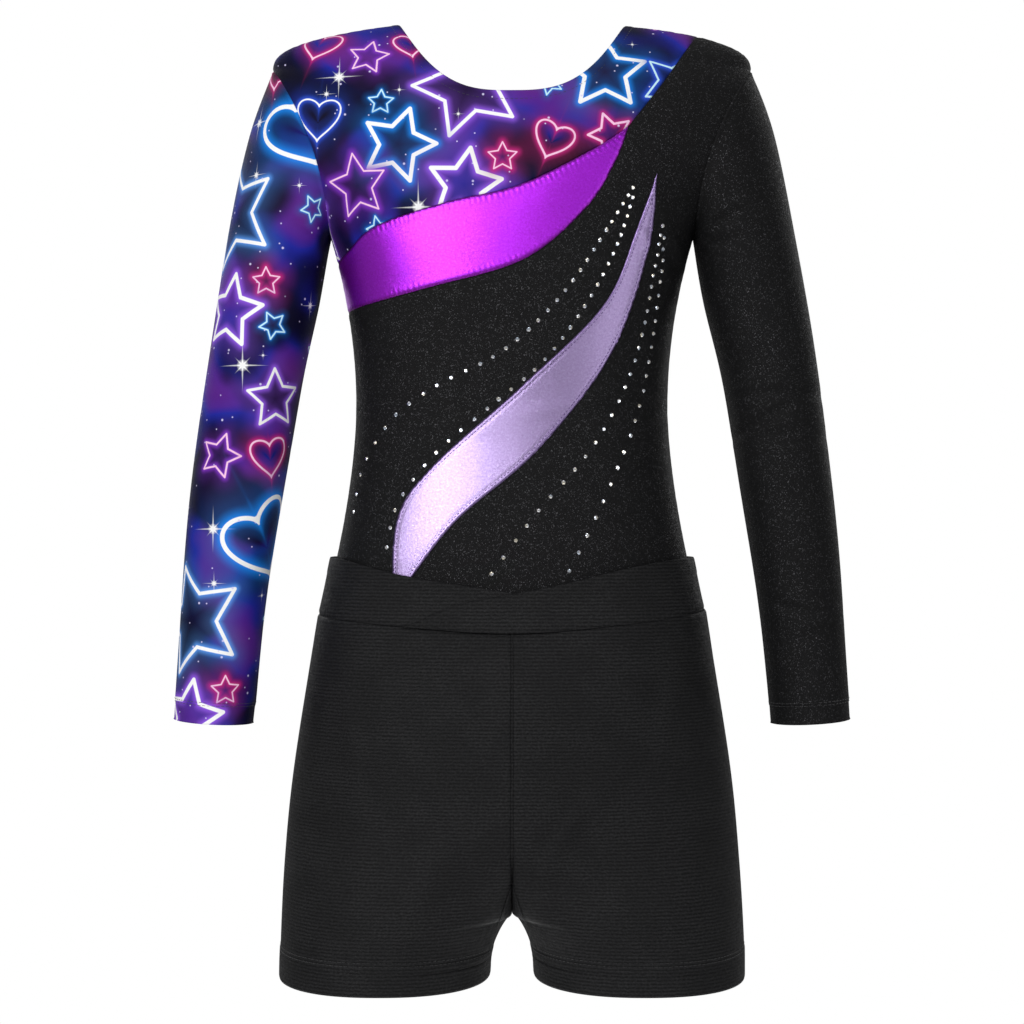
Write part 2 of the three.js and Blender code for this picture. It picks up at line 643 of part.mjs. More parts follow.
const pieces = [
  ["front_yoke", "neonPrint", trunkPanels.frontYoke],
  ["back_yoke", "neonPrint", trunkPanels.backYoke],
  ["bright_band", "purpleFoil", trunkPanels.brightBand],
  ["front_body", "blackSparkle", trunkPanels.frontBody],
  ["back_body", "blackSparkle", trunkPanels.backBody],
  ["lower_swoosh", "lilacFoil", lowerSwoosh()],
  ["right_sleeve", "neonPrint", mirror(rightwardSleeve)],
  ["left_sleeve", "blackSparkle", rightwardSleeve],
  ["neck_elastic", "elasticTape", neckElastic()],
  ["right_leg_elastic", "elasticTape", legElastic(-1)],
  ["left_leg_elastic", "elasticTape", legElastic(1)],
  ["crotch_lining", "lining", crotchLining()],
  ["size_label", "wovenLabel", tag(insideLayer(), 0, neckLabelTop)],
  ["care_label", "wovenLabel", tag(insideLayer(), hipHalf - labelWidth, hipZ + 2 * labelHeight)],
  ["waistband_over", "blackSatin", bandPanels().waistband_over],
  ["waistband_under", "blackSatin", bandPanels().waistband_under],
  ["waist_elastic", "elasticTape", waistElastic()],
  ["shorts_right_leg", "blackSatin", legPanels().shorts_right_leg],
  ["shorts_left_leg", "blackSatin", legPanels().shorts_left_leg],
  ["shorts_gusset", "blackSatin", legPanels().shorts_gusset],
  ["shorts_label", "wovenLabel", tag(shortsInside(), 0, bandLabelTop)],
];

const garment = new THREE.Group();
for (const [name, finish, solid] of pieces) {
  const { vertProperties, triVerts } = wholePiece(solid).getMesh();
  const geometry = new THREE.BufferGeometry();
  geometry.setAttribute("position", new THREE.BufferAttribute(vertProperties, 3));
  geometry.setIndex(new THREE.BufferAttribute(triVerts, 1));
  geometry.computeVertexNormals();
  const mesh = new THREE.Mesh(geometry, new THREE.MeshStandardMaterial(finishes[finish]));
  mesh.name = name;
  garment.add(mesh);
}

export default garment;
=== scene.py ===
import math

import bmesh
import bpy
import numpy as np
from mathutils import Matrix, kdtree
from mathutils.geometry import delaunay_2d_cdt


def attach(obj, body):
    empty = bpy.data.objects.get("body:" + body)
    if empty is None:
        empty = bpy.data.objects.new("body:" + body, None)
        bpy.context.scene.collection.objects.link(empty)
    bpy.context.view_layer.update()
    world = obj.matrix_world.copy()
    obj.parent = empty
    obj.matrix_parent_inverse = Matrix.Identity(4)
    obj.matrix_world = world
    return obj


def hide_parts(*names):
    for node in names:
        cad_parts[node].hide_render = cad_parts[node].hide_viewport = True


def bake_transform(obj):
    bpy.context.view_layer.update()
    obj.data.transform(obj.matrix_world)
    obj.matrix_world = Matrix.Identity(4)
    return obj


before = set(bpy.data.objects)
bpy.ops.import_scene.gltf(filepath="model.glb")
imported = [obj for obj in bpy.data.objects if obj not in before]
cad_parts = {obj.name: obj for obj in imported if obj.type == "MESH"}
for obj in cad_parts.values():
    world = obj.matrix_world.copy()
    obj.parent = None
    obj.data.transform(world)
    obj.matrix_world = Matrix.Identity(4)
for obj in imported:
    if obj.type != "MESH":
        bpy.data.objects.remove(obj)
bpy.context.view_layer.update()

# Lengths are in millimetres until a mesh is made, which is in metres.
MM = 0.001
FULLNESS = 2.3  # roundness of every section: 2 is an ellipse, more is boxier
SHOULDER_Z, UNDERARM_Z, WAIST_Z, HIP_Z = -29.0, -131.0, -238.0, -330.0
BRIEF_Z, LEG_CUT_Z, CUFF_Z = -535.0, -398.0, -429.0
BAND_TOP, CROTCH_Z, HEM_Z = -329.0, -547.0, -586.0
NECK_HALF, SHOULDER_HALF, CHEST_HALF = 70.0, 148.0, 112.5
WAIST_HALF, HIP_HALF, CROTCH_HALF = 96.2, 108.5, 33.0
FRONT_NECK, BACK_NECK = 50.4, 78.0
CLOTH = 0.7  # the knit with its backing
ARMHOLE_HALF_DEPTH = 40.0
BAND_SEAM_Z, BAND_MIDDLE_Z = -364.0, -345.0  # the shorts' band: its seam at the sides, its middle
ROOM_LIGHT = 0.27  # strength of the white room round the garment
FLOOR_Z = -0.9  # metres, below the shorts when they are pulled down
NECK_HEM, LEG_HEM = 5.6, 6.0  # widths of the leotard's turned edges
CUFF_STITCHES = (11.2, 13.0)  # heights of the rows of stitches above the cuff
SHORTS_STITCHES = (18.0, 20.2)  # the same above the shorts' hem
SWOOSH_STITCHES = 2.3  # from the swoosh's rim
KNIT_PITCH = 0.00055  # metres between the fine knit's columns

# Flat sizes given here, in metres; the others are measured from the flat layout.
BRIGHT_BAND_FLAT, SWOOSH_FLAT, GUSSET_FLAT = (0.062, 0.262), (0.05, 0.31), (0.05, 0.14)


# ---- Camera, floor and lights ---------------------------------------------------------------


def area_light(name, place, aim, size, watts):
    data = bpy.data.lights.new(name, "AREA")
    data.shape = "RECTANGLE"
    data.size, data.size_y = size
    data.energy = watts
    lamp = bpy.data.objects.new(name, data)
    bpy.context.collection.objects.link(lamp)
    x, y, z = (a - b for a, b in zip(aim, place))
    lamp.location = place
    lamp.rotation_euler = (math.atan2(math.hypot(x, y), -z), 0, math.atan2(-x, y))


def set_stage():
    scene = bpy.context.scene
    camera = bpy.data.objects.new("camera", bpy.data.cameras.new("camera"))
    scene.collection.objects.link(camera)
    camera.location = (0, -1.3, -0.3013)
    camera.rotation_euler = (math.radians(90), 0, 0)
    camera.data.lens = 73.7
    camera.data.sensor_width = 36
    camera.data.clip_start = 0.05
    scene.camera = camera
    scene.view_settings.view_transform = "Standard"

    world = bpy.data.worlds.new("studio")
    world.use_nodes = True
    tree = world.node_tree
    backdrop = tree.nodes["Background"]
    backdrop.inputs[0].default_value = (1, 1, 1, 1)
    seen = tree.nodes.new("ShaderNodeLightPath")
    strength = tree.nodes.new("ShaderNodeMapRange")
    strength.inputs["To Min"].default_value = ROOM_LIGHT
    strength.inputs["To Max"].default_value = 1.0
    tree.links.new(seen.outputs["Is Camera Ray"], strength.inputs["Value"])
    tree.links.new(strength.outputs[0], backdrop.inputs[1])
    scene.world = world

    bpy.ops.object.select_all(action="DESELECT")
    place = (0, 0, FLOOR_Z)
    bpy.ops.mesh.primitive_circle_add(vertices=96, radius=0.62, fill_type="NGON", location=place)
    bpy.ops.object.transform_apply(location=True)
    floor = bpy.context.object
    floor.name = "floor"
    paper = bpy.data.materials.new("floor_paper")
    paper.use_nodes = True
    shader = paper.node_tree.nodes["Principled BSDF"]
    shader.inputs["Base Color"].default_value = (0.92, 0.92, 0.92, 1)
    shader.inputs["Roughness"].default_value = 0.9
    shader.inputs["Emission Color"].default_value = (1, 1, 1, 1)
    shader.inputs["Emission Strength"].default_value = 0.5
    floor.data.materials.append(paper)

    area_light("key", (-0.75, -1.6, 0.15), (0, 0, -0.25), (0.8, 1.2), 22)
    area_light("fill", (1.3, -1.3, -0.2), (0, 0, -0.3), (0.8, 1.2), 5)
    area_light("top", (0, -0.2, 1.3), (0, 0, 0), (1.2, 0.8), 5)
    area_light("back_left", (-1.1, 1.2, 0.3), (0, 0, -0.25), (0.9, 1.2), 4)
    area_light("back_right", (1.1, 1.2, 0.3), (0, 0, -0.25), (0.9, 1.2), 4)


# ---- Curves and profiles --------------------------------------------------------------------


def ease(t):
    return 0.5 - 0.5 * np.cos(np.pi * np.clip(t, 0, 1))


def mix(a, b, t):
    return a + (b - a) * t


def smooth_line(points, count):
    """A smooth line through a few points, the same spline as the cutting pattern's."""
    p = np.array(points, float)
    last = len(p) - 1
    out = []
    for u in np.linspace(0, last, count + 1):
        i = min(int(u), last)
        w = u - i
        p0, p1 = p[max(i - 1, 0)], p[i]
        p2, p3 = p[min(i + 1, last)], p[min(i + 2, last)]
        m0, m1 = (p2 - p0) / 2, (p3 - p1) / 2
        out.append(
            (2 * p1 - 2 * p2 + m0 + m1) * w**3 + (-3 * p1 + 3 * p2 - 2 * m0 - m1) * w**2 + m0 * w + p1
        )
    return np.array(out)


def lengths(line):
    return np.r_[0, np.cumsum(np.linalg.norm(np.diff(line, axis=0), axis=1))]


def at_length(line, where):
    run = lengths(line)
    return np.stack([np.interp(where, run, line[:, k]) for k in range(line.shape[1])], 1)


def spaced(line, step):
    total = lengths(line)[-1]
    return at_length(line, np.linspace(0, total, max(2, int(round(total / step)) + 1)))


def offset_line(line, distance):
    """The line moved sideways, to the left of its direction."""
    tangent = np.gradient(line, axis=0)
    tangent /= np.linalg.norm(tangent, axis=1)[:, None]
    return line + distance * np.c_[-tangent[:, 1], tangent[:, 0]]


def search_tree(points):
    tree = kdtree.KDTree(len(points))
    for i, p in enumerate(points):
        tree.insert((p[0], p[1], 0), i)
    tree.balance()
    return tree


def nearest(line, points):
    """Distance from each point to the line, the run along the line there, and the side (+1 left)."""
    line = spaced(line, 0.8)
    run = lengths(line)
    tree = search_tree(line)
    tangent = np.gradient(line, axis=0)
    tangent /= np.linalg.norm(tangent, axis=1)[:, None]
    found = [tree.find((x, y, 0))[1] for x, y in points]
    rel = points - line[found]
    t = tangent[found]
    across = t[:, 0] * rel[:, 1] - t[:, 1] * rel[:, 0]
    along = np.clip((rel * t).sum(1), -0.6, 0.6)
    distance = np.linalg.norm(rel - along[:, None] * t, axis=1)
    return distance, run[found] + along, np.where(across < 0, -1.0, 1.0)


def ripple(x, y, z, seed):
    """Slow, smooth, irregular waves from -1 to 1."""
    rng = np.random.default_rng(seed)
    total = 0
    for k in range(7):
        w = rng.normal(0, 0.045, 3)
        phase = rng.uniform(0, 6.28)
        total = total + np.sin(w[0] * x + w[1] * y + w[2] * z * 0.8 + phase) / (1 + 0.3 * k)
    return total / 3.2


def fold(along, across, length, width):
    """One soft fold: a ridge with a hollow on each side, fading at both ends."""
    d = across / width
    return np.exp(-((along / length) ** 2)) * (1 - 1.3 * d * d) * np.exp(-d * d)


def trunk_half(z):
    up = NECK_HALF + (SHOULDER_HALF - NECK_HALF) * (1 - np.clip(1 - z / SHOULDER_Z, 0, 1) ** 2.8)
    arm = np.clip((z - UNDERARM_Z) / 102, 0, 1)
    side = CHEST_HALF + (SHOULDER_HALF - CHEST_HALF) * arm**1.9
    chest = WAIST_HALF + (CHEST_HALF - WAIST_HALF) * np.clip((z - WAIST_Z) / 107, 0, 1) ** 2
    hip = WAIST_HALF + (HIP_HALF - WAIST_HALF) * np.clip((WAIST_Z - z) / 92, 0, 1) ** 1.6
    return np.select([z > SHOULDER_Z, z > UNDERARM_Z, z > WAIST_Z], [up, side, chest], hip)


def trunk_depth(z):
    chest_z = UNDERARM_Z + 21
    top = 62 * np.sqrt(np.clip(1 - np.clip(1 - z / chest_z, 0, 1) ** 2.2, 0, 1))
    chest = mix(62.0, 56.0, ease((chest_z - z) / (chest_z - WAIST_Z)))
    hip = mix(56.0, 59.5, ease((WAIST_Z - z) / 92))
    closing = np.clip((LEG_CUT_Z - z) / 137, 0, 1)
    brief = 59.5 * np.sqrt(np.clip(1 - closing**2.4, 0, 1))
    depth = np.select([z > chest_z, z > WAIST_Z, z > HIP_Z], [top, chest, hip], brief)
    return np.maximum(depth, 1.0)


def section_half(z):
    rise = np.clip((z - UNDERARM_Z) / 102, 0, 1)
    opened = np.minimum(ARMHOLE_HALF_DEPTH * np.sqrt(4 * rise * (1 - rise)) / trunk_depth(z), 0.95)
    return trunk_half(z) / (1 - opened**FULLNESS) ** (1 / FULLNESS)


class Trunk:
    """The trunk's surface, laid out flat: s runs round the body from the centre, v down it."""

    def __init__(self):
        z = BRIEF_Z * (0.5 - 0.5 * np.cos(np.linspace(0, np.pi, 6000)))
        v = np.r_[0, np.cumsum(np.hypot(np.diff(z), 0.86 * np.diff(trunk_depth(z))))]
        self.v = np.arange(0, v[-1] + 1, 1.0)
        self.z = np.interp(self.v, v, z)
        self.count = 200
        self.x_rows, self.y_rows, self.side = [], [], []
        for height in self.z:
            a, d = float(section_half(height)), float(trunk_depth(height))
            end = math.acos(min(1, (float(trunk_half(height)) / a)) ** (FULLNESS / 2))
            angle = np.linspace(np.pi / 2, end, 600)
            x = a * np.clip(np.cos(angle), 0, 1) ** (2 / FULLNESS)
            y = d * np.sin(angle) ** (2 / FULLNESS)
            run = np.r_[0, np.cumsum(np.hypot(np.diff(x), np.diff(y)))]
            even = np.linspace(0, run[-1], self.count)
            self.x_rows.append(np.interp(even, run, x))
            self.y_rows.append(np.interp(even, run, y))
            self.side.append(run[-1])
        self.x_rows, self.y_rows = np.array(self.x_rows), np.array(self.y_rows)
        self.side = np.array(self.side)

    def reach(self, v):
        return np.interp(v, self.v, self.side)

    def place(self, s, v, way):
        """Points on the cloth; way is -1 for the front and 1 for the back."""
        row = np.clip(v, 0, self.v[-1] - 1e-6)
        i = np.minimum(row.astype(int), len(self.v) - 2)
        f = row - i
        q = np.clip(np.abs(s) / self.reach(row), 0, 1) * (self.count - 1)
        k = np.minimum(q.astype(int), self.count - 2)
        g = q - k

        def look(table):
            low = table[i, k] * (1 - g) + table[i, k + 1] * g
            high = table[i + 1, k] * (1 - g) + table[i + 1, k + 1] * g
            return low * (1 - f) + high * f

        x = np.sign(s) * look(self.x_rows)
        return np.stack([x, way * look(self.y_rows), np.interp(row, self.v, self.z)], 1)

    def normal(self, s, v, way):
        h = 0.7
        ds = self.place(s + h, v, way) - self.place(s - h, v, way)
        dv = self.place(s, v + h, way) - self.place(s, v - h, way)
        n = np.cross(ds, dv)
        n /= np.maximum(np.linalg.norm(n, axis=1), 1e-9)[:, None]
        at = self.place(s, v, way)
        flip = np.sign(n[:, 0] * at[:, 0] + n[:, 1] * at[:, 1])
        return n * np.where(flip == 0, 1, flip)[:, None]

    def flat(self, line):
        """A line in x and z laid out flat."""
        out = []
        for x, z in line:
            v = np.interp(-z, -self.z, self.v)
            i = min(int(v), len(self.v) - 2)
            f = v - i
            s = []
            for row in (i, i + 1):
                even = np.linspace(0, self.side[row], self.count)
                s.append(np.interp(abs(x), self.x_rows[row], even))
            run = s[0] * (1 - f) + s[1] * f
            past = max(0.0, abs(x) - float(np.interp(v, self.v, self.x_rows[:, -1])))
            out.append((math.copysign(run + past, x), v))
        return np.array(out)


trunk = Trunk()


# ---- Meshes ---------------------------------------------------------------------------------


def cloth_piece(name, points, faces, uv, thickness=CLOTH, edge=None):
    """A sheet of cloth with its thickness inwards, and its own flat map named cloth, in metres."""
    used = np.unique(np.concatenate([np.asarray(f) for f in faces]))
    number = np.full(len(points), -1)
    number[used] = np.arange(len(used))
    faces = [[int(number[i]) for i in f] for f in faces]
    points, uv = points[used] * MM, uv[used] * MM
    mesh = bpy.data.meshes.new(name)
    mesh.from_pydata(points.tolist(), [], faces)
    layer = mesh.uv_layers.new(name="cloth")
    index = np.zeros(len(mesh.loops), np.int32)
    mesh.loops.foreach_get("vertex_index", index)
    layer.data.foreach_set("uv", uv[index].astype(np.float32).ravel())
    if edge is not None:
        mark = mesh.attributes.new("edge", "FLOAT", "POINT")
        mark.data.foreach_set("value", (edge[used] * MM).astype(np.float32))
    piece = bpy.data.objects.new(name, mesh)
    bpy.context.collection.objects.link(piece)
    piece["flat_area"] = sum(p.area for p in mesh.polygons)
    if thickness:
        wall = piece.modifiers.new("wall", "SOLIDIFY")
        wall.thickness = thickness * MM
        wall.offset = -1
        wall.use_even_offset = False
        apply_modifiers(piece)
    mesh = piece.data
    mesh.polygons.foreach_set("use_smooth", [True] * len(mesh.polygons))
    mesh.update()
    return piece


def apply_modifiers(piece):
    bpy.ops.object.select_all(action="DESELECT")
    bpy.context.view_layer.objects.active = piece
    piece.select_set(True)
    for modifier in list(piece.modifiers):
        bpy.ops.object.modifier_apply(modifier=modifier.name)
    piece.select_set(False)


def flat_size(piece):
    """The smallest rectangle, turned any way, that the flat piece is cut from: its width and length."""
    count = len(piece.data.loops)
    uv = np.zeros(count * 2, np.float32)
    piece.data.uv_layers["cloth"].data.foreach_get("uv", uv)
    uv = uv.reshape(-1, 2)[:: max(1, count // 4000)]
    best = None
    for turn in np.linspace(0, np.pi / 2, 46):
        c, s = math.cos(turn), math.sin(turn)
        size = np.ptp(uv @ np.array([[c, -s], [s, c]]), axis=0)
        if best is None or size[0] * size[1] < best[0] * best[1]:
            best = (float(size[0]), float(size[1]))
    return best


def declare(piece, node=None, size=None):
    width, length = size or flat_size(piece)
    area = min(piece["flat_area"], width * length)
    area = max(area, 0.3 * width * length)
    if node:
        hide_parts(node)


def inside_outline(s, v, way, margin=0.0):
    """Whether points of the flat layout are on the front or back, clear of its edge."""
    neck = NECK_FLAT[way]
    leg = LEG_FLAT[way]
    above = np.interp(np.abs(s), neck[:, 0], neck[:, 1])
    ok = (np.abs(s) < trunk.reach(v) - margin) & (v > 0.05) & (v < trunk.v[-1] - 0.6)
    ok &= (np.abs(s) > neck[-1, 0]) | (v > above + margin)
    low = v > leg[0, 1]
    ok &= ~low | (np.abs(s) < np.interp(v, leg[:, 1], leg[:, 0]) - margin)
    return ok


def neckline(drop, count=90):
    angle = np.linspace(np.pi / 2, 0, count)
    x = NECK_HALF * np.cos(angle)
    return np.c_[x, -drop * (1 - (x / NECK_HALF) ** 2.9)]


def leg_edge(out):
    pull = lambda t: mix(CROTCH_HALF, HIP_HALF, t)
    down = lambda t: mix(LEG_CUT_Z, BRIEF_Z, t)
    line = smooth_line(
        [
            (HIP_HALF + 6, LEG_CUT_Z + 2),
            (HIP_HALF - 12, LEG_CUT_Z - 12.3),
            (pull(0.42 + out), down(0.45)),
            (pull(0.12 + out * 0.7), down(0.8)),
            (CROTCH_HALF, BRIEF_Z + 2),
        ],
        60,
    )
    return line[(line[:, 1] > BRIEF_Z + 0.4)]


NECK_FLAT = {-1: trunk.flat(neckline(FRONT_NECK)), 1: trunk.flat(neckline(BACK_NECK))}
LEG_FLAT = {-1: trunk.flat(leg_edge(0)), 1: trunk.flat(leg_edge(0.22))}


def side_line(way):
    """Half of the outline: neck, shoulder, armhole, side seam, leg edge and crotch."""
    leg = LEG_FLAT[way]
    crossing = np.argmax(leg[:, 0] < trunk.reach(leg[:, 1]))
    leg = leg[crossing:]
    v = np.arange(0.02, leg[0, 1] - 0.4, 0.4)
    shoulder = np.c_[trunk.reach(v), v]
    end = leg[-1]
    return [NECK_FLAT[way], shoulder, leg, np.array([end, [0, end[1]]])]


def staggered(low, high, step):
    """Points in rows, every other row shifted by half a step."""
    grid = []
    for n, v in enumerate(np.arange(low[1], high[1], step * 0.866)):
        s = np.arange(low[0] + (n % 2) * step / 2, high[0], step)
        grid.append(np.c_[s, np.full(len(s), v)])
    return np.vstack(grid)


def triangles(points, edges):
    """Triangles over flat points, with the given edges kept."""
    result = delaunay_2d_cdt([tuple(p) for p in points.tolist()], edges, [], 0, 1e-4)
    flat = np.array([tuple(p) for p in result[0]])
    return flat, np.array([f for f in result[2] if len(f) == 3])


def flat_mesh(way, seams, fine):
    """Triangles of the whole front or back, with the seams as edges; smaller near the fine lines."""
    half = np.vstack([spaced(part, 1.4) for part in side_line(way)])
    keep = [0]
    for i in range(1, len(half)):
        if np.linalg.norm(half[i] - half[keep[-1]]) > 0.55:
            keep.append(i)
    half = half[keep]
    other = half[::-1] * [-1, 1]
    loop = np.vstack([half, other[1:-1]])
    points = [loop]
    edges = [(i, (i + 1) % len(loop)) for i in range(len(loop))]
    start = len(loop)
    for seam in seams:
        line = spaced(seam, 1.3)
        points.append(line)
        edges += [(start + i, start + i + 1) for i in range(len(line) - 1)]
        start += len(line)
    guard = search_tree(np.vstack(points))
    rich = search_tree(np.vstack([spaced(line, 2.0) for line in fine]))
    low, high = loop.min(0), loop.max(0)
    for step, near, far in ((1.15, 0, 5.0), (2.0, 5.0, 9.5), (3.3, 9.5, 1e9)):
        grid = staggered(low, high, step)
        grid = grid[inside_outline(grid[:, 0], grid[:, 1], way, 0.5)]
        chosen = []
        for s, v in grid:
            d = rich.find((s, v, 0))[2]
            if near <= d < far and guard.find((s, v, 0))[2] > step * 0.55:
                chosen.append((s, v))
        if chosen:
            points.append(np.array(chosen))
    flat, faces = triangles(np.vstack(points), edges)
    middle = flat[faces].mean(1)
    faces = faces[inside_outline(middle[:, 0], middle[:, 1], way)]
    return flat, faces


def outward(points, faces, normals):
    """The same faces, each turned to look along the cloth's normal."""
    a, b, c = (points[faces[:, k]] for k in range(3))
    wrong = (np.cross(b - a, c - a) * normals[faces[:, 0]]).sum(1) < 0
    faces[wrong] = faces[wrong][:, ::-1]
    return faces


# ---- The trunk's seams ----------------------------------------------------------------------

BAND_UPPER = smooth_line(
    [(-124, -156), (-102, -145), (-82.8, -130.7), (-38.4, -117.7), (4.7, -107.7), (47.3, -86.6),
     (69.4, -71.8)], 90)
BAND_LOWER = smooth_line(
    [(-124, -182), (-99.8, -178.5), (-52.3, -168.5), (6.5, -152), (44.4, -120.7), (62.1, -92),
     (69.4, -71.8)], 90)
SHOULDER_CUT = smooth_line([(69.4, -71.8), (88.8, -46.3), (103, -25), (118, -2)], 40)
SWOOSH_UPPER = smooth_line(
    [(86.4, -99.3), (75.3, -129.4), (54.8, -177.3), (6.9, -225.4), (-47.7, -274.4), (-68.4, -304.9),
     (-71.6, -350)], 110)
SWOOSH_LOWER = smooth_line(
    [(86.4, -99.3), (81.9, -143.6), (59.1, -207.1), (15.1, -264.9), (-33.9, -307.7), (-66, -350)], 110)
BACK_CUT = smooth_line([(-124, -160), (-84, -140), (-10, -126), (60, -92), (98, -38), (118, -2)], 110)


def seam_groove(distance, run, side, seed, depth=0.5, pucker=0.3, pitch=3.3):
    """A sewn seam pulls the cloth in and puckers it between the stitches."""
    rng = np.random.default_rng(seed)
    knots = rng.uniform(0.35, 1.25, 400)
    strength = np.interp(run, np.arange(400) * 4.0, knots)
    phase = np.interp(run, np.arange(400) * 9.0, rng.uniform(-1.2, 1.2, 400))
    waves = np.sin(run * 2 * np.pi / pitch + phase + 0.9 * (side > 0))
    rise = np.exp(-distance / 3.2) * (1 - np.exp(-((distance / 1.0) ** 2)))
    return -depth * np.exp(-((distance / 1.25) ** 2)) + pucker * strength * waves * rise


def turned_edge(distance, width, lift=0.35, dip=0.28):
    """The turned and topstitched edge of a stretch knit."""
    body = lift * (1 - ease((distance - width + 0.9) / 2.2))
    roll = -0.35 * np.exp(-((distance / 0.7) ** 2))
    return body + roll - dip * np.exp(-(((distance - width) / 0.75) ** 2))


def trunk_relief(s, v, way, seams):
    """How far each point of the trunk's cloth stands off its plain surface."""
    flat = np.c_[s, v]
    at = trunk.place(s, v, way)
    x, y, z = at.T
    rise = np.zeros(len(s))
    edge = np.full(len(s), 99.0)
    for k, seam in enumerate(seams):
        d, run, side = nearest(seam, flat)
        rise += seam_groove(d, run, side, 31 + k)
        edge = np.minimum(edge, d)
    d, run, side = nearest(ARMHOLE_FLAT, np.abs(flat))
    rise += seam_groove(d, run, side, 51, depth=0.4, pucker=0.16)
    edge = np.minimum(edge, d)
    d, run, side = nearest(SIDE_FLAT, np.abs(flat))
    rise += seam_groove(d, run, side, 61, depth=0.35, pucker=0.14)
    edge = np.minimum(edge, d)
    neck = NECK_FLAT[way]
    d, _, _ = nearest(np.vstack([neck[::-1] * [-1, 1], neck[1:]]), flat)
    rise += np.where(d < 14, turned_edge(d, NECK_HEM), 0)
    d, _, _ = nearest(LEG_FLAT[way], np.abs(flat))
    rise += np.where((d < 14) & (z < LEG_CUT_Z + 12), turned_edge(d, LEG_HEM), 0)
    calm = ease(edge / 16)
    free = calm * ease((z + 330) / 14)
    rise += 0.55 * ripple(x, y * 1.4, z, 5 + way) * free
    for cx, cz, turn, length, width, height in SOFT_FOLDS[way]:
        c, sn = math.cos(math.radians(turn)), math.sin(math.radians(turn))
        along = (x - cx) * c + (z - cz) * sn
        across = -(x - cx) * sn + (z - cz) * c
        rise += height * fold(along, across, length, width) * calm
    return rise, edge


ARMHOLE_FLAT = trunk.flat([(float(trunk_half(z)), z) for z in np.linspace(UNDERARM_Z, SHOULDER_Z, 90)])
SIDE_FLAT = trunk.flat([(float(trunk_half(z)), z) for z in np.linspace(UNDERARM_Z, LEG_CUT_Z, 160)])

# Each fold: place in x and z, direction in degrees, half length, half width and height.
SOFT_FOLDS = {
    -1: [
        (99, -140, 118, 26, 4.5, 0.9),
        (88, -150, 126, 30, 5.5, 0.7),
        (-101, -140, 60, 24, 5.0, 0.6),
        (60, -232, 12, 44, 7.0, 0.5),
        (-58, -246, -8, 40, 7.5, 0.5),
        (78, -254, 18, 30, 6.0, 0.5),
    ],
    1: [
        (96, -142, 118, 28, 5.0, 1.0),
        (-96, -142, 62, 28, 5.0, 1.0),
        (0, -236, 0, 60, 8.0, 1.1),
        (18, -258, 6, 52, 7.5, 0.9),
        (-26, -216, -7, 46, 7.0, 0.8),
        (70, -240, 14, 34, 6.5, 0.7),
        (-72, -246, -12, 34, 6.5, 0.7),
    ],
}


def trunk_surface(s, v, way, seams, lift=0.0):
    rise, edge = trunk_relief(s, v, way, seams)
    at = trunk.place(s, v, way)
    normal = trunk.normal(s, v, way)
    return at + normal * (rise + lift)[:, None], normal, edge


def front_seams():
    upper = trunk.flat(np.vstack([BAND_UPPER, SHOULDER_CUT[1:]]))
    return upper, trunk.flat(BAND_LOWER)


def make_trunk():
    made = {}
    for way, seams in ((-1, front_seams()), (1, [trunk.flat(BACK_CUT)])):
        neck = NECK_FLAT[way]
        outlines = [neck, neck * [-1, 1], ARMHOLE_FLAT, ARMHOLE_FLAT * [-1, 1]]
        flat, faces = flat_mesh(way, seams, [*seams, *outlines])
        points, normal, edge = trunk_surface(flat[:, 0], flat[:, 1], way, seams)
        faces = outward(points, faces, normal)
        middle = flat[faces].mean(1)
        above = [middle[:, 1] < np.interp(middle[:, 0], *line.T, right=-1) for line in seams]
        top, low = above[0], above[-1]
        if way < 0:
            parts = {"front_yoke": top, "bright_band": ~top & low, "front_body": ~top & ~low}
        else:
            parts = {"back_yoke": top, "back_body": ~top}
        uv = flat * [-way, -1]
        for name, chosen in parts.items():
            made[name] = cloth_piece(name + "_cloth", points, faces[chosen], uv, edge=edge)
    return made


def make_swoosh():
    """The lower swoosh, applied on the front with a stitched rim, ending under the shorts' band."""
    upper, lower = trunk.flat(SWOOSH_UPPER), trunk.flat(SWOOSH_LOWER)
    loop = np.vstack([spaced(upper, 0.9), spaced(lower[::-1], 0.9)[1:-1]])
    edges = [(i, (i + 1) % len(loop)) for i in range(len(loop))]
    grid = staggered(loop.min(0), loop.max(0), 1.25)
    right = np.interp(grid[:, 1], lower[:, 1], lower[:, 0])
    left = np.interp(grid[:, 1], upper[:, 1], upper[:, 0])
    grid = grid[(grid[:, 0] < right) & (grid[:, 0] > left)]
    d = np.minimum(nearest(upper, grid)[0], nearest(lower, grid)[0])
    grid = grid[d > 0.6]
    flat, faces = triangles(np.vstack([loop, grid]), edges)
    middle = flat[faces].mean(1)
    right = np.interp(middle[:, 1], lower[:, 1], lower[:, 0])
    left = np.interp(middle[:, 1], upper[:, 1], upper[:, 0])
    faces = faces[(middle[:, 0] < right) & (middle[:, 0] > left)]
    d_up, run_up, _ = nearest(upper, flat)
    d_low, run_low, _ = nearest(lower, flat)
    d = np.minimum(d_up, d_low)
    run = np.where(d_up < d_low, run_up, run_low)
    lift = 0.42 + 0.5 * (1 - np.exp(-((d / 0.7) ** 2)))
    lift += 0.22 * np.exp(-(((d - 1.0) / 0.7) ** 2)) - 0.3 * np.exp(-(((d - 2.3) / 0.6) ** 2))
    lift += 0.1 * np.sin(run * 2 * np.pi / 2.8) * np.exp(-(((d - 2.3) / 1.6) ** 2))
    seams = front_seams()
    points, normal, _ = trunk_surface(flat[:, 0], flat[:, 1], -1, seams)
    points = points + normal * lift[:, None]
    faces = outward(points, faces, normal)
    return cloth_piece("lower_swoosh_cloth", points, faces, flat * [1, -1], thickness=0.38, edge=d)


# ---- Sleeves --------------------------------------------------------------------------------

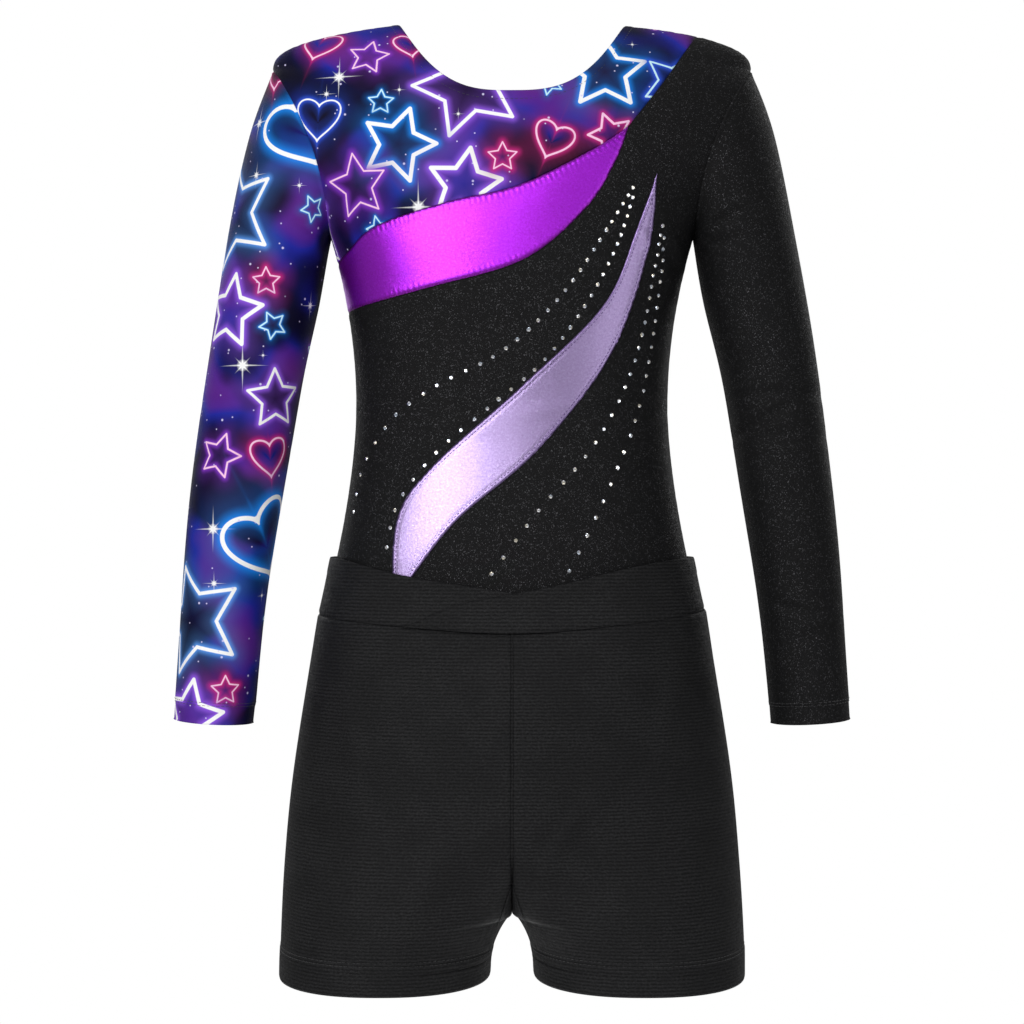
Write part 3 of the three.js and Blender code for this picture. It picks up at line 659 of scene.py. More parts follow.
SLEEVE_OUTER = smooth_line(
    [(148, -29), (163, -71), (178.5, -145), (193, -244), (203, -330), (209.5, -429)], 600)
SLEEVE_INNER = smooth_line(
    [(112.5, -131), (119, -172), (131, -225), (145, -306), (154, -368), (160.5, -432)], 600)

SEAM_TUCK = 1.2  # how far the sleeve's end lies under the trunk's edge
ARM_TOP = (130.25, -80.0)  # the middle of the armhole, as seen from the front
ARM_AXIS = (0.1544, -0.988)  # down the arm, as seen from the front


def grid_quads(rows, wide):
    """The quads of a grid of points row by row, each with its column."""
    for i in range(rows - 1):
        for j in range(wide - 1):
            a = i * wide + j
            yield j, [a, a + 1, a + 1 + wide, a + wide]


class Sleeve:
    """One sleeve as a grid: rows down the arm and columns round it, from the underarm seam."""

    def __init__(self, way):
        self.way = way
        rows = np.r_[
            np.linspace(0, 0.03, 12)[:-1],
            np.linspace(0.03, 0.955, 172),
            np.linspace(0.955, 1, 20)[1:],
        ]
        self.turns = 132
        angle = np.pi + np.linspace(0, 2 * np.pi, self.turns + 1)
        outer = at_length(SLEEVE_OUTER, rows * lengths(SLEEVE_OUTER)[-1])
        inner_t = rows**2 / (rows + 0.34 * (1 - rows))
        inner = at_length(SLEEVE_INNER, inner_t * lengths(SLEEVE_INNER)[-1])
        depth = mix(33.0, 25.0, ease(rows))
        opening = mix(ARMHOLE_HALF_DEPTH, depth, ease(rows / 0.35))
        on_seam = 1 - ease(rows / 0.3)
        across = (1 + np.cos(angle)) / 2
        bow = trunk_half(mix(UNDERARM_Z, SHOULDER_Z, across)) - mix(CHEST_HALF, SHOULDER_HALF, across)
        x = inner[:, :1] * (1 - across) + outer[:, :1] * across + on_seam[:, None] * bow
        y = opening[:, None] * np.sin(angle)
        z = inner[:, 1:] * (1 - across) + outer[:, 1:] * across + 0 * y
        self.base = np.stack([way * x, y, z], 2)
        self.along = np.cumsum(
            np.r_[np.zeros((1, self.turns + 1)), np.linalg.norm(np.diff(self.base, axis=0), axis=2)], 0
        )
        around = np.linalg.norm(np.diff(self.base, axis=1), axis=2)
        run = np.c_[np.zeros(len(rows)), np.cumsum(around, 1)]
        front = self.turns // 4
        self.round = run - run[:, front : front + 1]
        self.rows, self.angle = rows, angle
        self.drop = rows[:, None] * 400 + 0 * self.round
        self.lay_flat()
        self.place()

    def lay_flat(self):
        """The cloth's flat place: down the arm's axis, and round it from the front."""
        x, y, z = np.moveaxis(self.base, 2, 0)
        side = (self.way * x - ARM_TOP[0]) * -ARM_AXIS[1] + (z - ARM_TOP[1]) * ARM_AXIS[0]
        axial = (self.way * x - ARM_TOP[0]) * ARM_AXIS[0] + (z - ARM_TOP[1]) * ARM_AXIS[1]
        run = np.zeros_like(side)
        run[:, 1:] = np.cumsum(np.hypot(np.diff(side, axis=1), np.diff(y, axis=1)), 1)
        front = self.turns // 4
        offset = run[:, front] - side[:, front]
        self.flat_round, self.axial = run - offset[:, None], axial

    def normals(self, grid):
        du = np.gradient(grid, axis=0)
        dv = np.empty_like(grid)
        ring = grid[:, :-1]
        step = np.roll(ring, -1, 1) - np.roll(ring, 1, 1)
        dv[:, :-1] = step
        dv[:, -1] = step[:, 0]
        n = np.cross(dv, du) * self.way
        n /= np.maximum(np.linalg.norm(n, axis=2), 1e-9)[:, :, None]
        return n

    def place(self):
        x, y, z = np.moveaxis(self.base, 2, 0)
        lift = -0.42 * np.exp(-((self.along / 1.3) ** 2))
        waves = np.sin(self.round * 2 * np.pi / 3.4 + 2 * np.sin(self.round / 17))
        lift += 0.16 * waves * np.exp(-self.along / 3.2) * (1 - np.exp(-(self.along**2)))
        left = self.along[-1:] - self.along
        lift += 0.32 * (1 - ease((left - 11.4) / 2.4))
        lift += -0.3 * np.exp(-(((left - 12) / 0.9) ** 2)) - 0.35 * np.exp(-((left / 0.7) ** 2))
        seam = np.minimum(np.abs(self.angle - np.pi), np.abs(self.angle - 3 * np.pi)) * 28
        lift += -0.35 * np.exp(-((seam / 1.3) ** 2))[None, :]
        calm = ease(self.along / 14) * ease(left / 20)
        lift += 0.7 * ripple(x * 1.2, y * 1.6, z, 71 + self.way) * calm
        for drop, turn, tilt, length, width, height in ARM_FOLDS[self.way]:
            c, s = math.cos(math.radians(tilt)), math.sin(math.radians(tilt))
            du = self.round - turn
            dv = self.drop - drop
            lift += 1.5 * height * fold(du * c + dv * s, -du * s + dv * c, length, width) * calm
        self.normal = self.normals(self.base)
        self.grid = self.base + self.normal * lift[:, :, None]
        self.grid[0, :, 0] -= self.way * SEAM_TUCK
        self.grid[:, -1] = self.grid[:, 0]

    def print_place(self, x, z):
        """The flat place of a point seen from the front."""
        x, z = self.way * x - ARM_TOP[0], z - ARM_TOP[1]
        side, axial = x * -ARM_AXIS[1] + z * ARM_AXIS[0], x * ARM_AXIS[0] + z * ARM_AXIS[1]
        front = slice(0, self.turns // 2)
        base = self.base[:, front]
        away = np.hypot(self.way * base[:, :, 0] - ARM_TOP[0] - x, base[:, :, 2] - ARM_TOP[1] - z)
        i, j = np.unravel_index(np.argmin(away), away.shape)
        drift = self.flat_round[i, j] - self.side_of(i, j)
        return float(self.way * (side + drift)), float(-axial)

    def side_of(self, i, j):
        x, _, z = self.base[i, j]
        return (self.way * x - ARM_TOP[0]) * -ARM_AXIS[1] + (z - ARM_TOP[1]) * ARM_AXIS[0]

    def make(self, name):
        points = self.grid.reshape(-1, 3)
        uv = np.stack([self.way * self.flat_round, -self.axial], 2).reshape(-1, 2)
        edge = np.minimum(self.along, 99).reshape(-1)
        faces = [quad for _, quad in grid_quads(len(self.rows), self.turns + 1)]
        if self.faces_inward(points, faces):
            faces = [f[::-1] for f in faces]
        return cloth_piece(name, points, faces, uv, edge=edge)

    def faces_inward(self, points, faces):
        a, b, c = (points[faces[len(faces) // 2][k]] for k in range(3))
        middle = points[faces[len(faces) // 2][0]]
        ring = self.grid[len(self.rows) // 2].mean(0)
        return float(np.dot(np.cross(b - a, c - a), middle - ring)) < 0


# Each fold: drop down the sleeve, place round it, tilt, half length, half width and height.
ARM_FOLDS = {
    1: [
        (54, -16, 35, 20, 4.5, 1.0),
        (66, -24, 42, 22, 5.0, 0.8),
        (196, 10, 14, 24, 5.5, 0.9),
        (208, -12, -16, 22, 5.0, 0.9),
        (222, 4, 10, 26, 6.0, 0.7),
        (330, -8, 22, 18, 5.0, 0.7),
        (344, 8, -18, 18, 5.0, 0.7),
        (204, 100, 10, 26, 6.0, 1.0),
        (218, 112, -12, 26, 6.0, 0.9),
    ],
    -1: [
        (58, -18, 35, 20, 5.0, 0.6),
        (202, 8, 12, 24, 6.0, 0.6),
        (214, -10, -14, 22, 5.0, 0.6),
        (206, 104, 10, 26, 6.0, 0.9),
        (336, 2, 16, 18, 5.0, 0.5),
    ],
}


# ---- Shorts ---------------------------------------------------------------------------------


def shorts_half(z):
    t = np.clip((BAND_TOP - z) / (BAND_TOP - HEM_Z), 0, 1)
    return 112.3 + 30.9 * (1 - (1 - t) ** 1.85)


def shorts_front(z):
    return 63.3 + 9 * ease((BAND_TOP - z) / 95)


def shorts_back(z):
    return 63.3 + 21 * (ease((BAND_TOP - z) / 120) - 0.35 * ease((CROTCH_Z + 30 - z) / 60))


def leg_inside(z):
    t = np.clip((CROTCH_Z - z) / 39, 0, 1)
    return 13.5 * (1 - (1 - t) ** 2.4)


def shorts_row(z, count=500):
    """The section of one leg's side, from the centre front round the outside to the centre back."""
    angle = np.linspace(0, np.pi, count)
    share_x = (1 - np.sign(np.cos(angle)) * np.abs(np.cos(angle)) ** (2 / FULLNESS)) / 2
    lobe = np.clip(np.sin(angle), 0, 1) ** (2 / FULLNESS)
    whole = np.clip(1 - share_x**FULLNESS, 0, 1) ** (1 / FULLNESS)
    t = float(np.clip((CROTCH_Z + 60 - z) / 60, 0, 1))
    round_part = 1 - (1 - t**2.2) ** (1 / 2.2)
    parted = mix(round_part, float(ease(t)), ease(share_x / 0.35))
    share = mix(whole, lobe, parted)
    inner = float(leg_inside(z))
    x = inner + (float(shorts_half(z)) - inner) * share_x
    front = np.c_[x, -share * float(shorts_front(z))]
    back = np.c_[x, share * float(shorts_back(z))][::-1]
    return np.vstack([front, back[1:]])


def band_seam(x, y):
    """Height of the seam between the band and the legs."""
    front = smooth_line([(-125, -364), (-67, -369), (0, -373), (67, -368), (125, -361)], 80)
    tilt = np.interp(x, [-125, 125], [-364, -361])
    return np.where(y < 0, mix(tilt, np.interp(x, front[:, 0], front[:, 1]), ease(-y / 20)), tilt)


GUSSET = np.array([(-573.0, 13.5), (-547.0, 8.0), (-521.0, 0.0)])


class ShortsLeg:
    def __init__(self, way):
        self.way = way
        t = np.linspace(0, 1, 46)[1:]
        valley = CROTCH_Z + 60 - 60 * (1 - (1 - t) ** 2)
        seam_rows = BAND_SEAM_Z - np.array([0, 0.7, 1.4, 2.2, 3.2, 4.6, 6.2])
        top = np.r_[seam_rows, np.linspace(-372.5, -487, 50)]
        low = CROTCH_Z - 39 * np.linspace(0, 1, 36)[1:]
        self.heights = np.r_[top, valley, low]
        self.gusset_steps, self.leg_steps = 7, 150
        grid, round_run, inner = [], [], []
        for z in self.heights:
            row = shorts_row(z)
            run = lengths(row)
            half = len(row) // 2
            reach = float(np.interp(z, GUSSET[:, 0], GUSSET[:, 1], left=0, right=0))
            front_cut = back_cut = 0.0
            if reach:
                front_cut = float(np.interp(reach, row[: half + 1, 0], run[: half + 1]))
                back_cut = run[-1] - float(np.interp(reach, row[half:, 0][::-1], run[half:][::-1]))
            even = np.linspace(0, 1, self.leg_steps + 1)
            crowd = even - 0.055 * np.sin(2 * np.pi * even)
            crowd = mix(even, crowd, 0.9)
            where = np.r_[
                np.linspace(0, front_cut, self.gusset_steps + 1)[:-1],
                mix(front_cut, run[-1] - back_cut, crowd),
                np.linspace(run[-1] - back_cut, run[-1], self.gusset_steps + 1)[1:],
            ]
            at = at_length(row, where)
            above_side = band_seam(way * at[:, 0], at[:, 1]) - BAND_SEAM_Z
            lift = above_side * (1 - ease((BAND_SEAM_Z - z) / 34))
            grid.append(np.c_[at, z + lift])
            round_run.append(where - run[half])
            inner.append(np.minimum(where, run[-1] - where))
        self.base = np.array(grid) * [way, 1, 1]
        self.round, self.inner = np.array(round_run), np.array(inner)
        self.place()

    def place(self):
        x, y, z = np.moveaxis(self.base, 2, 0)
        du, dv = np.gradient(self.base, axis=0), np.gradient(self.base, axis=1)
        n = np.cross(dv, du) * self.way
        n /= np.maximum(np.linalg.norm(n, axis=2), 1e-9)[:, :, None]
        centre = np.stack([0 * x + self.way * 62, 0 * y, z], 2)
        flip = np.sign((n * (self.base - centre)).sum(2))
        n *= np.sign(np.median(flip))
        below_seam = band_seam(x, y) - z
        lift = 0.35 * np.exp(-below_seam / 6.0) - 0.75 * np.exp(-((below_seam / 1.2) ** 2))
        waves = np.sin(self.round * 2 * np.pi / 3.5 + 2 * np.sin(self.round / 19))
        lift += 0.26 * waves * np.exp(-below_seam / 3.6) * (1 - np.exp(-(below_seam**2)))
        centre_run = np.minimum(self.inner, 99)
        seam_fade = 1 - 0.6 * ease((CROTCH_Z - z) / 20)
        lift += -0.5 * np.exp(-((centre_run / 1.0) ** 2)) * seam_fade
        pucker = 0.12 * np.sin(z * 2 * np.pi / 3.6) * np.exp(-centre_run / 3)
        lift += pucker * (1 - np.exp(-(centre_run**2)))
        up = z - HEM_Z
        lift += 0.4 * (1 - ease((up - 18.6) / 2.6))
        lift += -0.42 * np.exp(-(((up - 19) / 1.1) ** 2)) - 0.3 * np.exp(-((up / 0.8) ** 2))
        calm = ease(below_seam / 20) * ease(up / 26) * ease(centre_run / 16)
        lift += 0.8 * ripple(x, y * 1.3, z * 1.1, 90 + self.way) * calm
        for px, pz, turn, length, width, height, side in LEG_FOLDS[self.way]:
            c, s = math.cos(math.radians(turn)), math.sin(math.radians(turn))
            along = (x - px) * c + (z - pz) * s
            across = -(x - px) * s + (z - pz) * c
            here = ease(side * y / 18)
            lift += height * fold(along, across, length, width) * calm * here
        self.normal = n
        self.grid = self.base + n * lift[:, :, None]
        self.grid[:, 0, 0] = self.base[:, 0, 0]
        self.grid[:, -1, 0] = self.base[:, -1, 0]

    def make(self):
        rows, wide = self.grid.shape[:2]
        points = self.grid.reshape(-1, 3)
        uv = np.stack([self.way * self.round, self.base[:, :, 2]], 2).reshape(-1, 2)
        edge = np.minimum(self.inner, 99).reshape(-1)
        leg, gusset = [], []
        first, last = self.gusset_steps, self.gusset_steps + self.leg_steps
        for j, quad in grid_quads(rows, wide):
            p = points[quad]
            if np.linalg.norm(np.cross(p[2] - p[0], p[3] - p[1])) < 0.004:
                continue
            (leg if first <= j < last else gusset).append(quad)
        sample = leg[len(leg) // 2]
        p = points[sample]
        turn = np.dot(np.cross(p[1] - p[0], p[2] - p[0]), self.normal.reshape(-1, 3)[sample[0]]) < 0
        if turn:
            leg, gusset = [[f[::-1] for f in group] for group in (leg, gusset)]
        return points, uv, edge, leg, gusset


# Each fold: x, z, direction, half length, half width, height, and -1 for front or 1 for back.
LEG_FOLDS = {
    1: [
        (26, -500, 62, 34, 6.5, 0.9, -1),
        (44, -478, 50, 36, 7.0, 0.6, -1),
        (92, -430, 80, 44, 9.0, 0.6, -1),
        (30, -490, 55, 36, 7.0, 1.2, 1),
        (60, -520, 30, 32, 8.0, 1.0, 1),
    ],
    -1: [
        (-26, -500, 118, 34, 6.5, 0.9, -1),
        (-40, -474, 128, 36, 7.0, 0.6, -1),
        (-96, -440, 98, 44, 9.0, 0.6, -1),
        (-30, -490, 125, 36, 7.0, 1.2, 1),
        (-60, -520, 150, 32, 8.0, 1.0, 1),
    ],
}

OVER_TOP = smooth_line(
    [(150, -329), (112, -329), (76.5, -333.6), (19.5, -346.2), (-31, -356), (-62, -370),
     (-92, -380)], 120)
UNDER_TOP = smooth_line([(-150, -329), (-112, -329), (-66.7, -338.8), (-10, -347.5), (16, -352)], 80)


def band_strip(path, top, bottom, lift_at, rows=26):
    """A strip of the waistband along a path of x and y at the band, between two heights."""
    run = lengths(path)
    count = int(run[-1] / 1.25)
    where = np.linspace(0, run[-1], count + 1)
    middle = at_length(path, where)
    t = np.r_[0, 0.02, 0.05, 0.09, np.linspace(0.13, 0.9, rows - 8), 0.94, 0.97, 0.985, 1]
    high, low = top(middle[:, 0], middle[:, 1]), bottom(middle[:, 0], middle[:, 1])
    low = np.minimum(low, high - 0.25)
    z = high[None, :] + (low - high)[None, :] * t[:, None]
    middle_z = np.array(BAND_MIDDLE_Z)
    half = shorts_half(z) / shorts_half(middle_z)
    front = shorts_front(z) / shorts_front(middle_z)
    back = shorts_back(z) / shorts_back(middle_z)
    x = middle[:, 0][None, :] * half
    y = middle[:, 1][None, :] * np.where(middle[:, 1][None, :] < 0, front, back)
    base = np.stack([x, y, z], 2)
    du, dv = np.gradient(base, axis=0), np.gradient(base, axis=1)
    n = np.cross(dv, du)
    n /= np.maximum(np.linalg.norm(n, axis=2), 1e-9)[:, :, None]
    n *= np.where((n[:, :, :2] * base[:, :, :2]).sum(2) < 0, -1, 1)[:, :, None]
    below, above = high[None, :] - z, z - low[None, :]
    lift = lift_at(x, y)
    lift = lift + 0.25 * (1 - ease((below - 8.6) / 2)) - 0.35 * np.exp(-((below / 0.7) ** 2))
    lift += -0.55 * np.exp(-((above / 1.2) ** 2))
    waves = np.sin(where[None, :] * 2 * np.pi / 3.5 + 2 * np.sin(where / 21)[None, :])
    lift += 0.24 * waves * np.exp(-above / 3.4) * (1 - np.exp(-(above**2)))
    slow = np.sin(where[None, :] / 5.2 + z / 7) + np.sin(where[None, :] / 9.1 - z / 11 + 1)
    lift += 0.1 * slow * ease(below / 6) * ease(above / 6)
    points = (base + n * lift[:, :, None]).reshape(-1, 3)
    faces = [quad for _, quad in grid_quads(len(t), count + 1)]
    p = points[faces[len(faces) // 3]]
    out = n.reshape(-1, 3)[faces[len(faces) // 3][0]]
    if np.dot(np.cross(p[1] - p[0], p[2] - p[0]), out) < 0:
        faces = [f[::-1] for f in faces]
    uv = np.stack([where[None, :] + 0 * z, z], 2).reshape(-1, 2)
    edge = np.minimum(above, below).reshape(-1)
    return points, faces, uv, edge


def band_path(way):
    """The band's section from the centre back round one side to the centre front."""
    row = shorts_row(BAND_MIDDLE_Z)[::-1]
    return row * [way, 1]


def make_band():
    seam = lambda x, y: band_seam(x, y) + 0.15
    over_line, under_line = OVER_TOP[::-1], UNDER_TOP

    def over_top(x, y):
        front = np.interp(x, over_line[:, 0], over_line[:, 1])
        return np.where(y < 0, mix(BAND_TOP, front, ease(-y / 14)), BAND_TOP)

    def under_top(x, y):
        front = np.interp(x, under_line[:, 0], under_line[:, 1])
        return np.where(y < 0, mix(BAND_TOP, front, ease(-y / 14)), BAND_TOP)

    left, right = band_path(1), band_path(-1)
    lap = right[::-1]
    lap = lap[(lap[:, 1] < 0) & (lap[:, 0] > -63)]
    over_path = np.vstack([left, lap[1:]])
    tuck = left[::-1]
    tuck = tuck[(tuck[:, 1] < 0) & (tuck[:, 0] < 15)]
    under_path = np.vstack([right, tuck[1:]])
    over_lift = lambda x, y: np.where(y < 0, 0.95 * ease((24 - x) / 14), 0)
    under_lift = lambda x, y: np.where(y < 0, -0.15 * ease((x + 4) / 10), 0)
    result = {}
    points, faces, uv, edge = band_strip(over_path, over_top, seam, over_lift)
    result["waistband_over"] = cloth_piece("waistband_over_cloth", points, faces, uv, edge=edge)
    points, faces, uv, edge = band_strip(under_path, under_top, seam, under_lift)
    result["waistband_under"] = cloth_piece("waistband_under_cloth", points, faces, uv, edge=edge)
    return result


# ---- Threads and stones ---------------------------------------------------------------------


def stitch_shape():
    """One stitch of thread, 1 mm long along x, sunk at both ends."""
    bpy.ops.object.select_all(action="DESELECT")
    bpy.ops.mesh.primitive_cylinder_add(vertices=6, radius=0.5, depth=1, end_fill_type="TRIFAN")
    shape = bpy.context.object
    bpy.ops.object.mode_set(mode="EDIT")
    bpy.ops.mesh.select_all(action="SELECT")
    bpy.ops.transform.rotate(value=math.pi / 2, orient_axis="Y", center_override=(0, 0, 0))
    for place in (-0.3, 0.3):
        bpy.ops.mesh.select_all(action="SELECT")
        bpy.ops.mesh.bisect(plane_co=(place, 0, 0), plane_no=(1, 0, 0))
    bpy.ops.object.mode_set(mode="OBJECT")
    for vertex in shape.data.vertices:
        if abs(vertex.co.x) > 0.4:
            vertex.co.y *= 0.45
            vertex.co.z = vertex.co.z * 0.45 - 0.75
    points = np.array([v.co for v in shape.data.vertices])
    faces = [list(p.vertices) for p in shape.data.polygons]
    bpy.data.objects.remove(shape, do_unlink=True)
    return points, faces


def stone_shape():
    """One flat-backed faceted stone of 1 mm radius, standing along z."""
    bpy.ops.object.select_all(action="DESELECT")
    bpy.ops.mesh.primitive_cylinder_add(vertices=8, radius=1, depth=0.14, location=(0, 0, 0.07))
    shape = bpy.context.object
    bpy.ops.object.mode_set(mode="EDIT")
    bpy.ops.mesh.select_all(action="DESELECT")
    edit = bmesh.from_edit_mesh(shape.data)
    top = [f for f in edit.faces if f.normal.z > 0.9]
    for f in top:
        f.select_set(True)
    bmesh.update_edit_mesh(shape.data)
    bpy.ops.mesh.extrude_region_move(TRANSFORM_OT_translate={"value": (0, 0, 0.24)})
    bpy.ops.transform.resize(value=(0.8, 0.8, 1), center_override=(0, 0, 0))
    bpy.ops.transform.rotate(value=math.pi / 8, orient_axis="Z", center_override=(0, 0, 0))
    bpy.ops.mesh.extrude_region_move(TRANSFORM_OT_translate={"value": (0, 0, 0.18)})
    bpy.ops.transform.resize(value=(0.66, 0.66, 1), center_override=(0, 0, 0))
    bpy.ops.transform.rotate(value=math.pi / 8, orient_axis="Z", center_override=(0, 0, 0))
    bpy.ops.mesh.select_all(action="SELECT")
    bpy.ops.mesh.quads_convert_to_tris(quad_method="BEAUTY", ngon_method="BEAUTY")
    bpy.ops.mesh.tris_convert_to_quads(face_threshold=0.02, shape_threshold=0.02)
    bpy.ops.mesh.normals_make_consistent(inside=False)
    bpy.ops.object.mode_set(mode="OBJECT")
    points = np.array([v.co for v in shape.data.vertices])
    faces = [list(p.vertices) for p in shape.data.polygons]
    bpy.data.objects.remove(shape, do_unlink=True)
    return points, faces


def copies(name, shape, frames, smooth=True):
    """Many copies of one shape in one mesh; each frame is a place and three axes with their sizes."""
    base, base_faces = shape
    points, faces = [], []
    for origin, x_axis, y_axis, z_axis in frames:
        start = len(points) * len(base)
        points.append(base @ np.array([x_axis, y_axis, z_axis]) + origin)
        faces += [[start + i for i in f] for f in base_faces]
    mesh = bpy.data.meshes.new(name)
    mesh.from_pydata((np.vstack(points) * MM).tolist(), [], faces)
    mesh.polygons.foreach_set("use_smooth", [smooth] * len(mesh.polygons))
    piece = bpy.data.objects.new(name, mesh)
    bpy.context.collection.objects.link(piece)
    return piece


def stitch_frames(places, normals, pitch, length=0.74, thick=0.34, sink=0.02):
    """Stitches along a row of places on the cloth."""
    run = lengths(places)
    count = int(run[-1] / pitch)
    frames = []
    for k in range(count):
        middle = (k + 0.5) * run[-1] / count
        p = at_length(places, [middle - 0.4, middle, middle + 0.4])
        n = at_length(normals, [middle])[0]
        n /= np.linalg.norm(n)
        t = p[2] - p[0]
        t /= np.linalg.norm(t)
        side = np.cross(n, t)
        side /= np.linalg.norm(side)
        frames.append((p[1] + n * (thick * 0.3 - sink), t * pitch * length, side * thick, n * thick))
    return frames


def trunk_row(line, way, seams, lift=0.0):
    """A flat line's places and normals on the trunk's cloth."""
    line = spaced(line, 1.0)
    points, normal, _ = trunk_surface(line[:, 0], line[:, 1], way, seams, lift)
    return points, normal


STONE_ROWS = [
    ([(72, -108.6), (56.6, -133.1), (36.4, -163.8), (13.3, -190), (-10.7, -208.9), (-43.9, -225.5),
      (-70.7, -244.3), (-89.7, -272.8), (-96.2, -301.3)], 32, 2.0),
    ([(71.9, -114.2), (62.1, -143.5), (43.6, -178.5), (18.4, -212), (-14.8, -240.1), (-45.6, -266.5),
      (-68.2, -295.9), (-75, -322.5)], 32, 2.1),
    ([(90.4, -129.5), (85.4, -156.8), (79.1, -191.4), (68.5, -224.9), (47.4, -263.5), (15, -301.5),
      (-12.1, -338.1)], 28, 2.2),
    ([(91.6, -136.4), (88.9, -167), (83.2, -207.6), (73.2, -249), (52.6, -299), (34, -336.4)], 24, 1.9),
]


def stone_frames():
    rng = np.random.default_rng(8)
    rows = []
    seams = front_seams()
    for points, count, growth in STONE_ROWS:
        line = smooth_line(points, 120)
        gaps = np.linspace(1, growth, count - 1)
        where = np.r_[0, np.cumsum(gaps)]
        where = where / where[-1] * lengths(line)[-1]
        where[1:-1] += rng.normal(0, 0.25, count - 2)
        flat = trunk.flat(at_length(line, where))
        places, normals, _ = trunk_surface(flat[:, 0], flat[:, 1], -1, seams, 0.03)
        frames = []
        for p, n in zip(places, normals):
            t = np.cross(n, [math.cos(rng.uniform(0, 6.28)), 0.1, math.sin(rng.uniform(0, 6.28))])
            t /= np.linalg.norm(t)
            b = np.cross(n, t)
            size = 1.32 + rng.normal(0, 0.05)
            lean = n + t * rng.normal(0, 0.05) + b * rng.normal(0, 0.05)
            frames.append((p, t * size, b * size, lean * 1.5))
        rows.append(frames)
    return rows


# ---- Finishes -------------------------------------------------------------------------------


class Nodes:
    """Short ways to add and link shader nodes."""

    def __init__(self, tree):
        self.tree = tree

    def link(self, value, socket):
        if isinstance(value, bpy.types.NodeSocket):
            self.tree.links.new(value, socket)
        elif value is not None:
            if socket.type == "RGBA" and len(value) == 3:
                value = (*value, 1)
            socket.default_value = value

    def add(self, kind, values=(), out=0, **settings):
        node = self.tree.nodes.new("ShaderNode" + kind)
        for key, value in settings.items():
            setattr(node, key, value)
        items = values.items() if isinstance(values, dict) else enumerate(values)
        for key, value in items:
            self.link(value, node.inputs[key])
        return node.outputs[out]

    def math(self, operation, *values, clamp=False):
        return self.add("Math", values, operation=operation, use_clamp=clamp)

    def vector(self, operation, *values):
        return self.add("VectorMath", values, operation=operation)

    def span(self, value, low, high, start=0.0, end=1.0, smooth=True):
        kind = "SMOOTHSTEP" if smooth else "LINEAR"
        values = {"Value": value, "From Min": low, "From Max": high, "To Min": start, "To Max": end}
        return self.add("MapRange", values, interpolation_type=kind, clamp=True)

    def blend(self, factor, a, b):
        node = self.tree.nodes.new("ShaderNodeMix")
        node.data_type = "RGBA"
        for value, socket in ((factor, node.inputs[0]), (a, node.inputs[6]), (b, node.inputs[7])):
            self.link(value, socket)
        return node.outputs[2]

    def ramp(self, factor, stops):
        node = self.tree.nodes.new("ShaderNodeValToRGB")
        self.link(factor, node.inputs[0])
        marks = node.color_ramp.elements
        while len(marks) < len(stops):
            marks.new(0.5)
        for mark, (place, color) in zip(marks, stops):
            mark.position = place
            mark.color = (*color, 1)
        return node.outputs[0]

    def noise(self, vector, scale, detail=2.0, rough=0.5):
        values = {"Vector": vector, "Scale": scale, "Detail": detail, "Roughness": rough}
        return self.add("TexNoise", values)

    def bump(self, height, distance, strength):
        values = {"Strength": strength, "Distance": distance, "Height": height}
        return self.add("Bump", values)

    def radius(self, x, y):
        squares = self.math("ADD", self.math("MULTIPLY", x, x), self.math("MULTIPLY", y, y))
        return self.math("SQRT", squares)


def new_finish(name):
    material = bpy.data.materials.new(name)
    material.use_nodes = True
    tree = material.node_tree
    return material, Nodes(tree), tree.nodes["Principled BSDF"]


def set_shader(n, shader, **values):
    for key, value in values.items():
        n.link(value, shader.inputs[key.replace("_", " ")])


def cloth_map(n):
    return n.add("UVMap", uv_map="cloth")


def knit(n, flat, pitch):
    """Fine knit columns: height from 0 to 1 over the flat cloth; pitch is in metres."""
    parts = n.add("SeparateXYZ", [flat])
    node = parts.node
    across = n.math("MULTIPLY", node.outputs[0], 2 * math.pi / pitch)
    along = n.math("MULTIPLY", node.outputs[1], 2 * math.pi / (pitch * 1.25))
    rib = n.math("ABSOLUTE", n.math("SINE", across))
    loop = n.math("ABSOLUTE", n.math("SINE", n.math("ADD", along, n.math("MULTIPLY", rib, 1.1))))
    loop = n.math("ADD", n.math("MULTIPLY", loop, 0.5), 0.5)
    return n.math("MULTIPLY", n.math("POWER", rib, 0.6), loop)


def black_sparkle():
    """Black stretch nylon with fine foil specks."""
    material, n, shader = new_finish("black_sparkle")
    flat = cloth_map(n)
    weave = knit(n, flat, KNIT_PITCH)
    cell = n.add("TexVoronoi", {"Vector": flat, "Scale": 2100.0}, out=1)
    parts = n.add("SeparateColor", [cell]).node
    speck = n.span(parts.outputs[0], 0.86, 0.99)
    cloud = n.noise(flat, 60.0, 3.0)
    base = n.blend(cloud, (0.004, 0.004, 0.0044), (0.0065, 0.0065, 0.007))
    colour = n.blend(speck, base, n.blend(parts.outputs[1], (0.02, 0.02, 0.022), (0.075, 0.075, 0.08)))
    rough = n.span(speck, 0, 1, 0.58, 0.26)
    normal = n.bump(weave, 0.00012, 0.55)
    set_shader(n, shader, Base_Color=colour, Roughness=rough, Normal=normal)
    set_shader(n, shader, Metallic=n.math("MULTIPLY", speck, 0.6), Specular_IOR_Level=0.1)
    return material


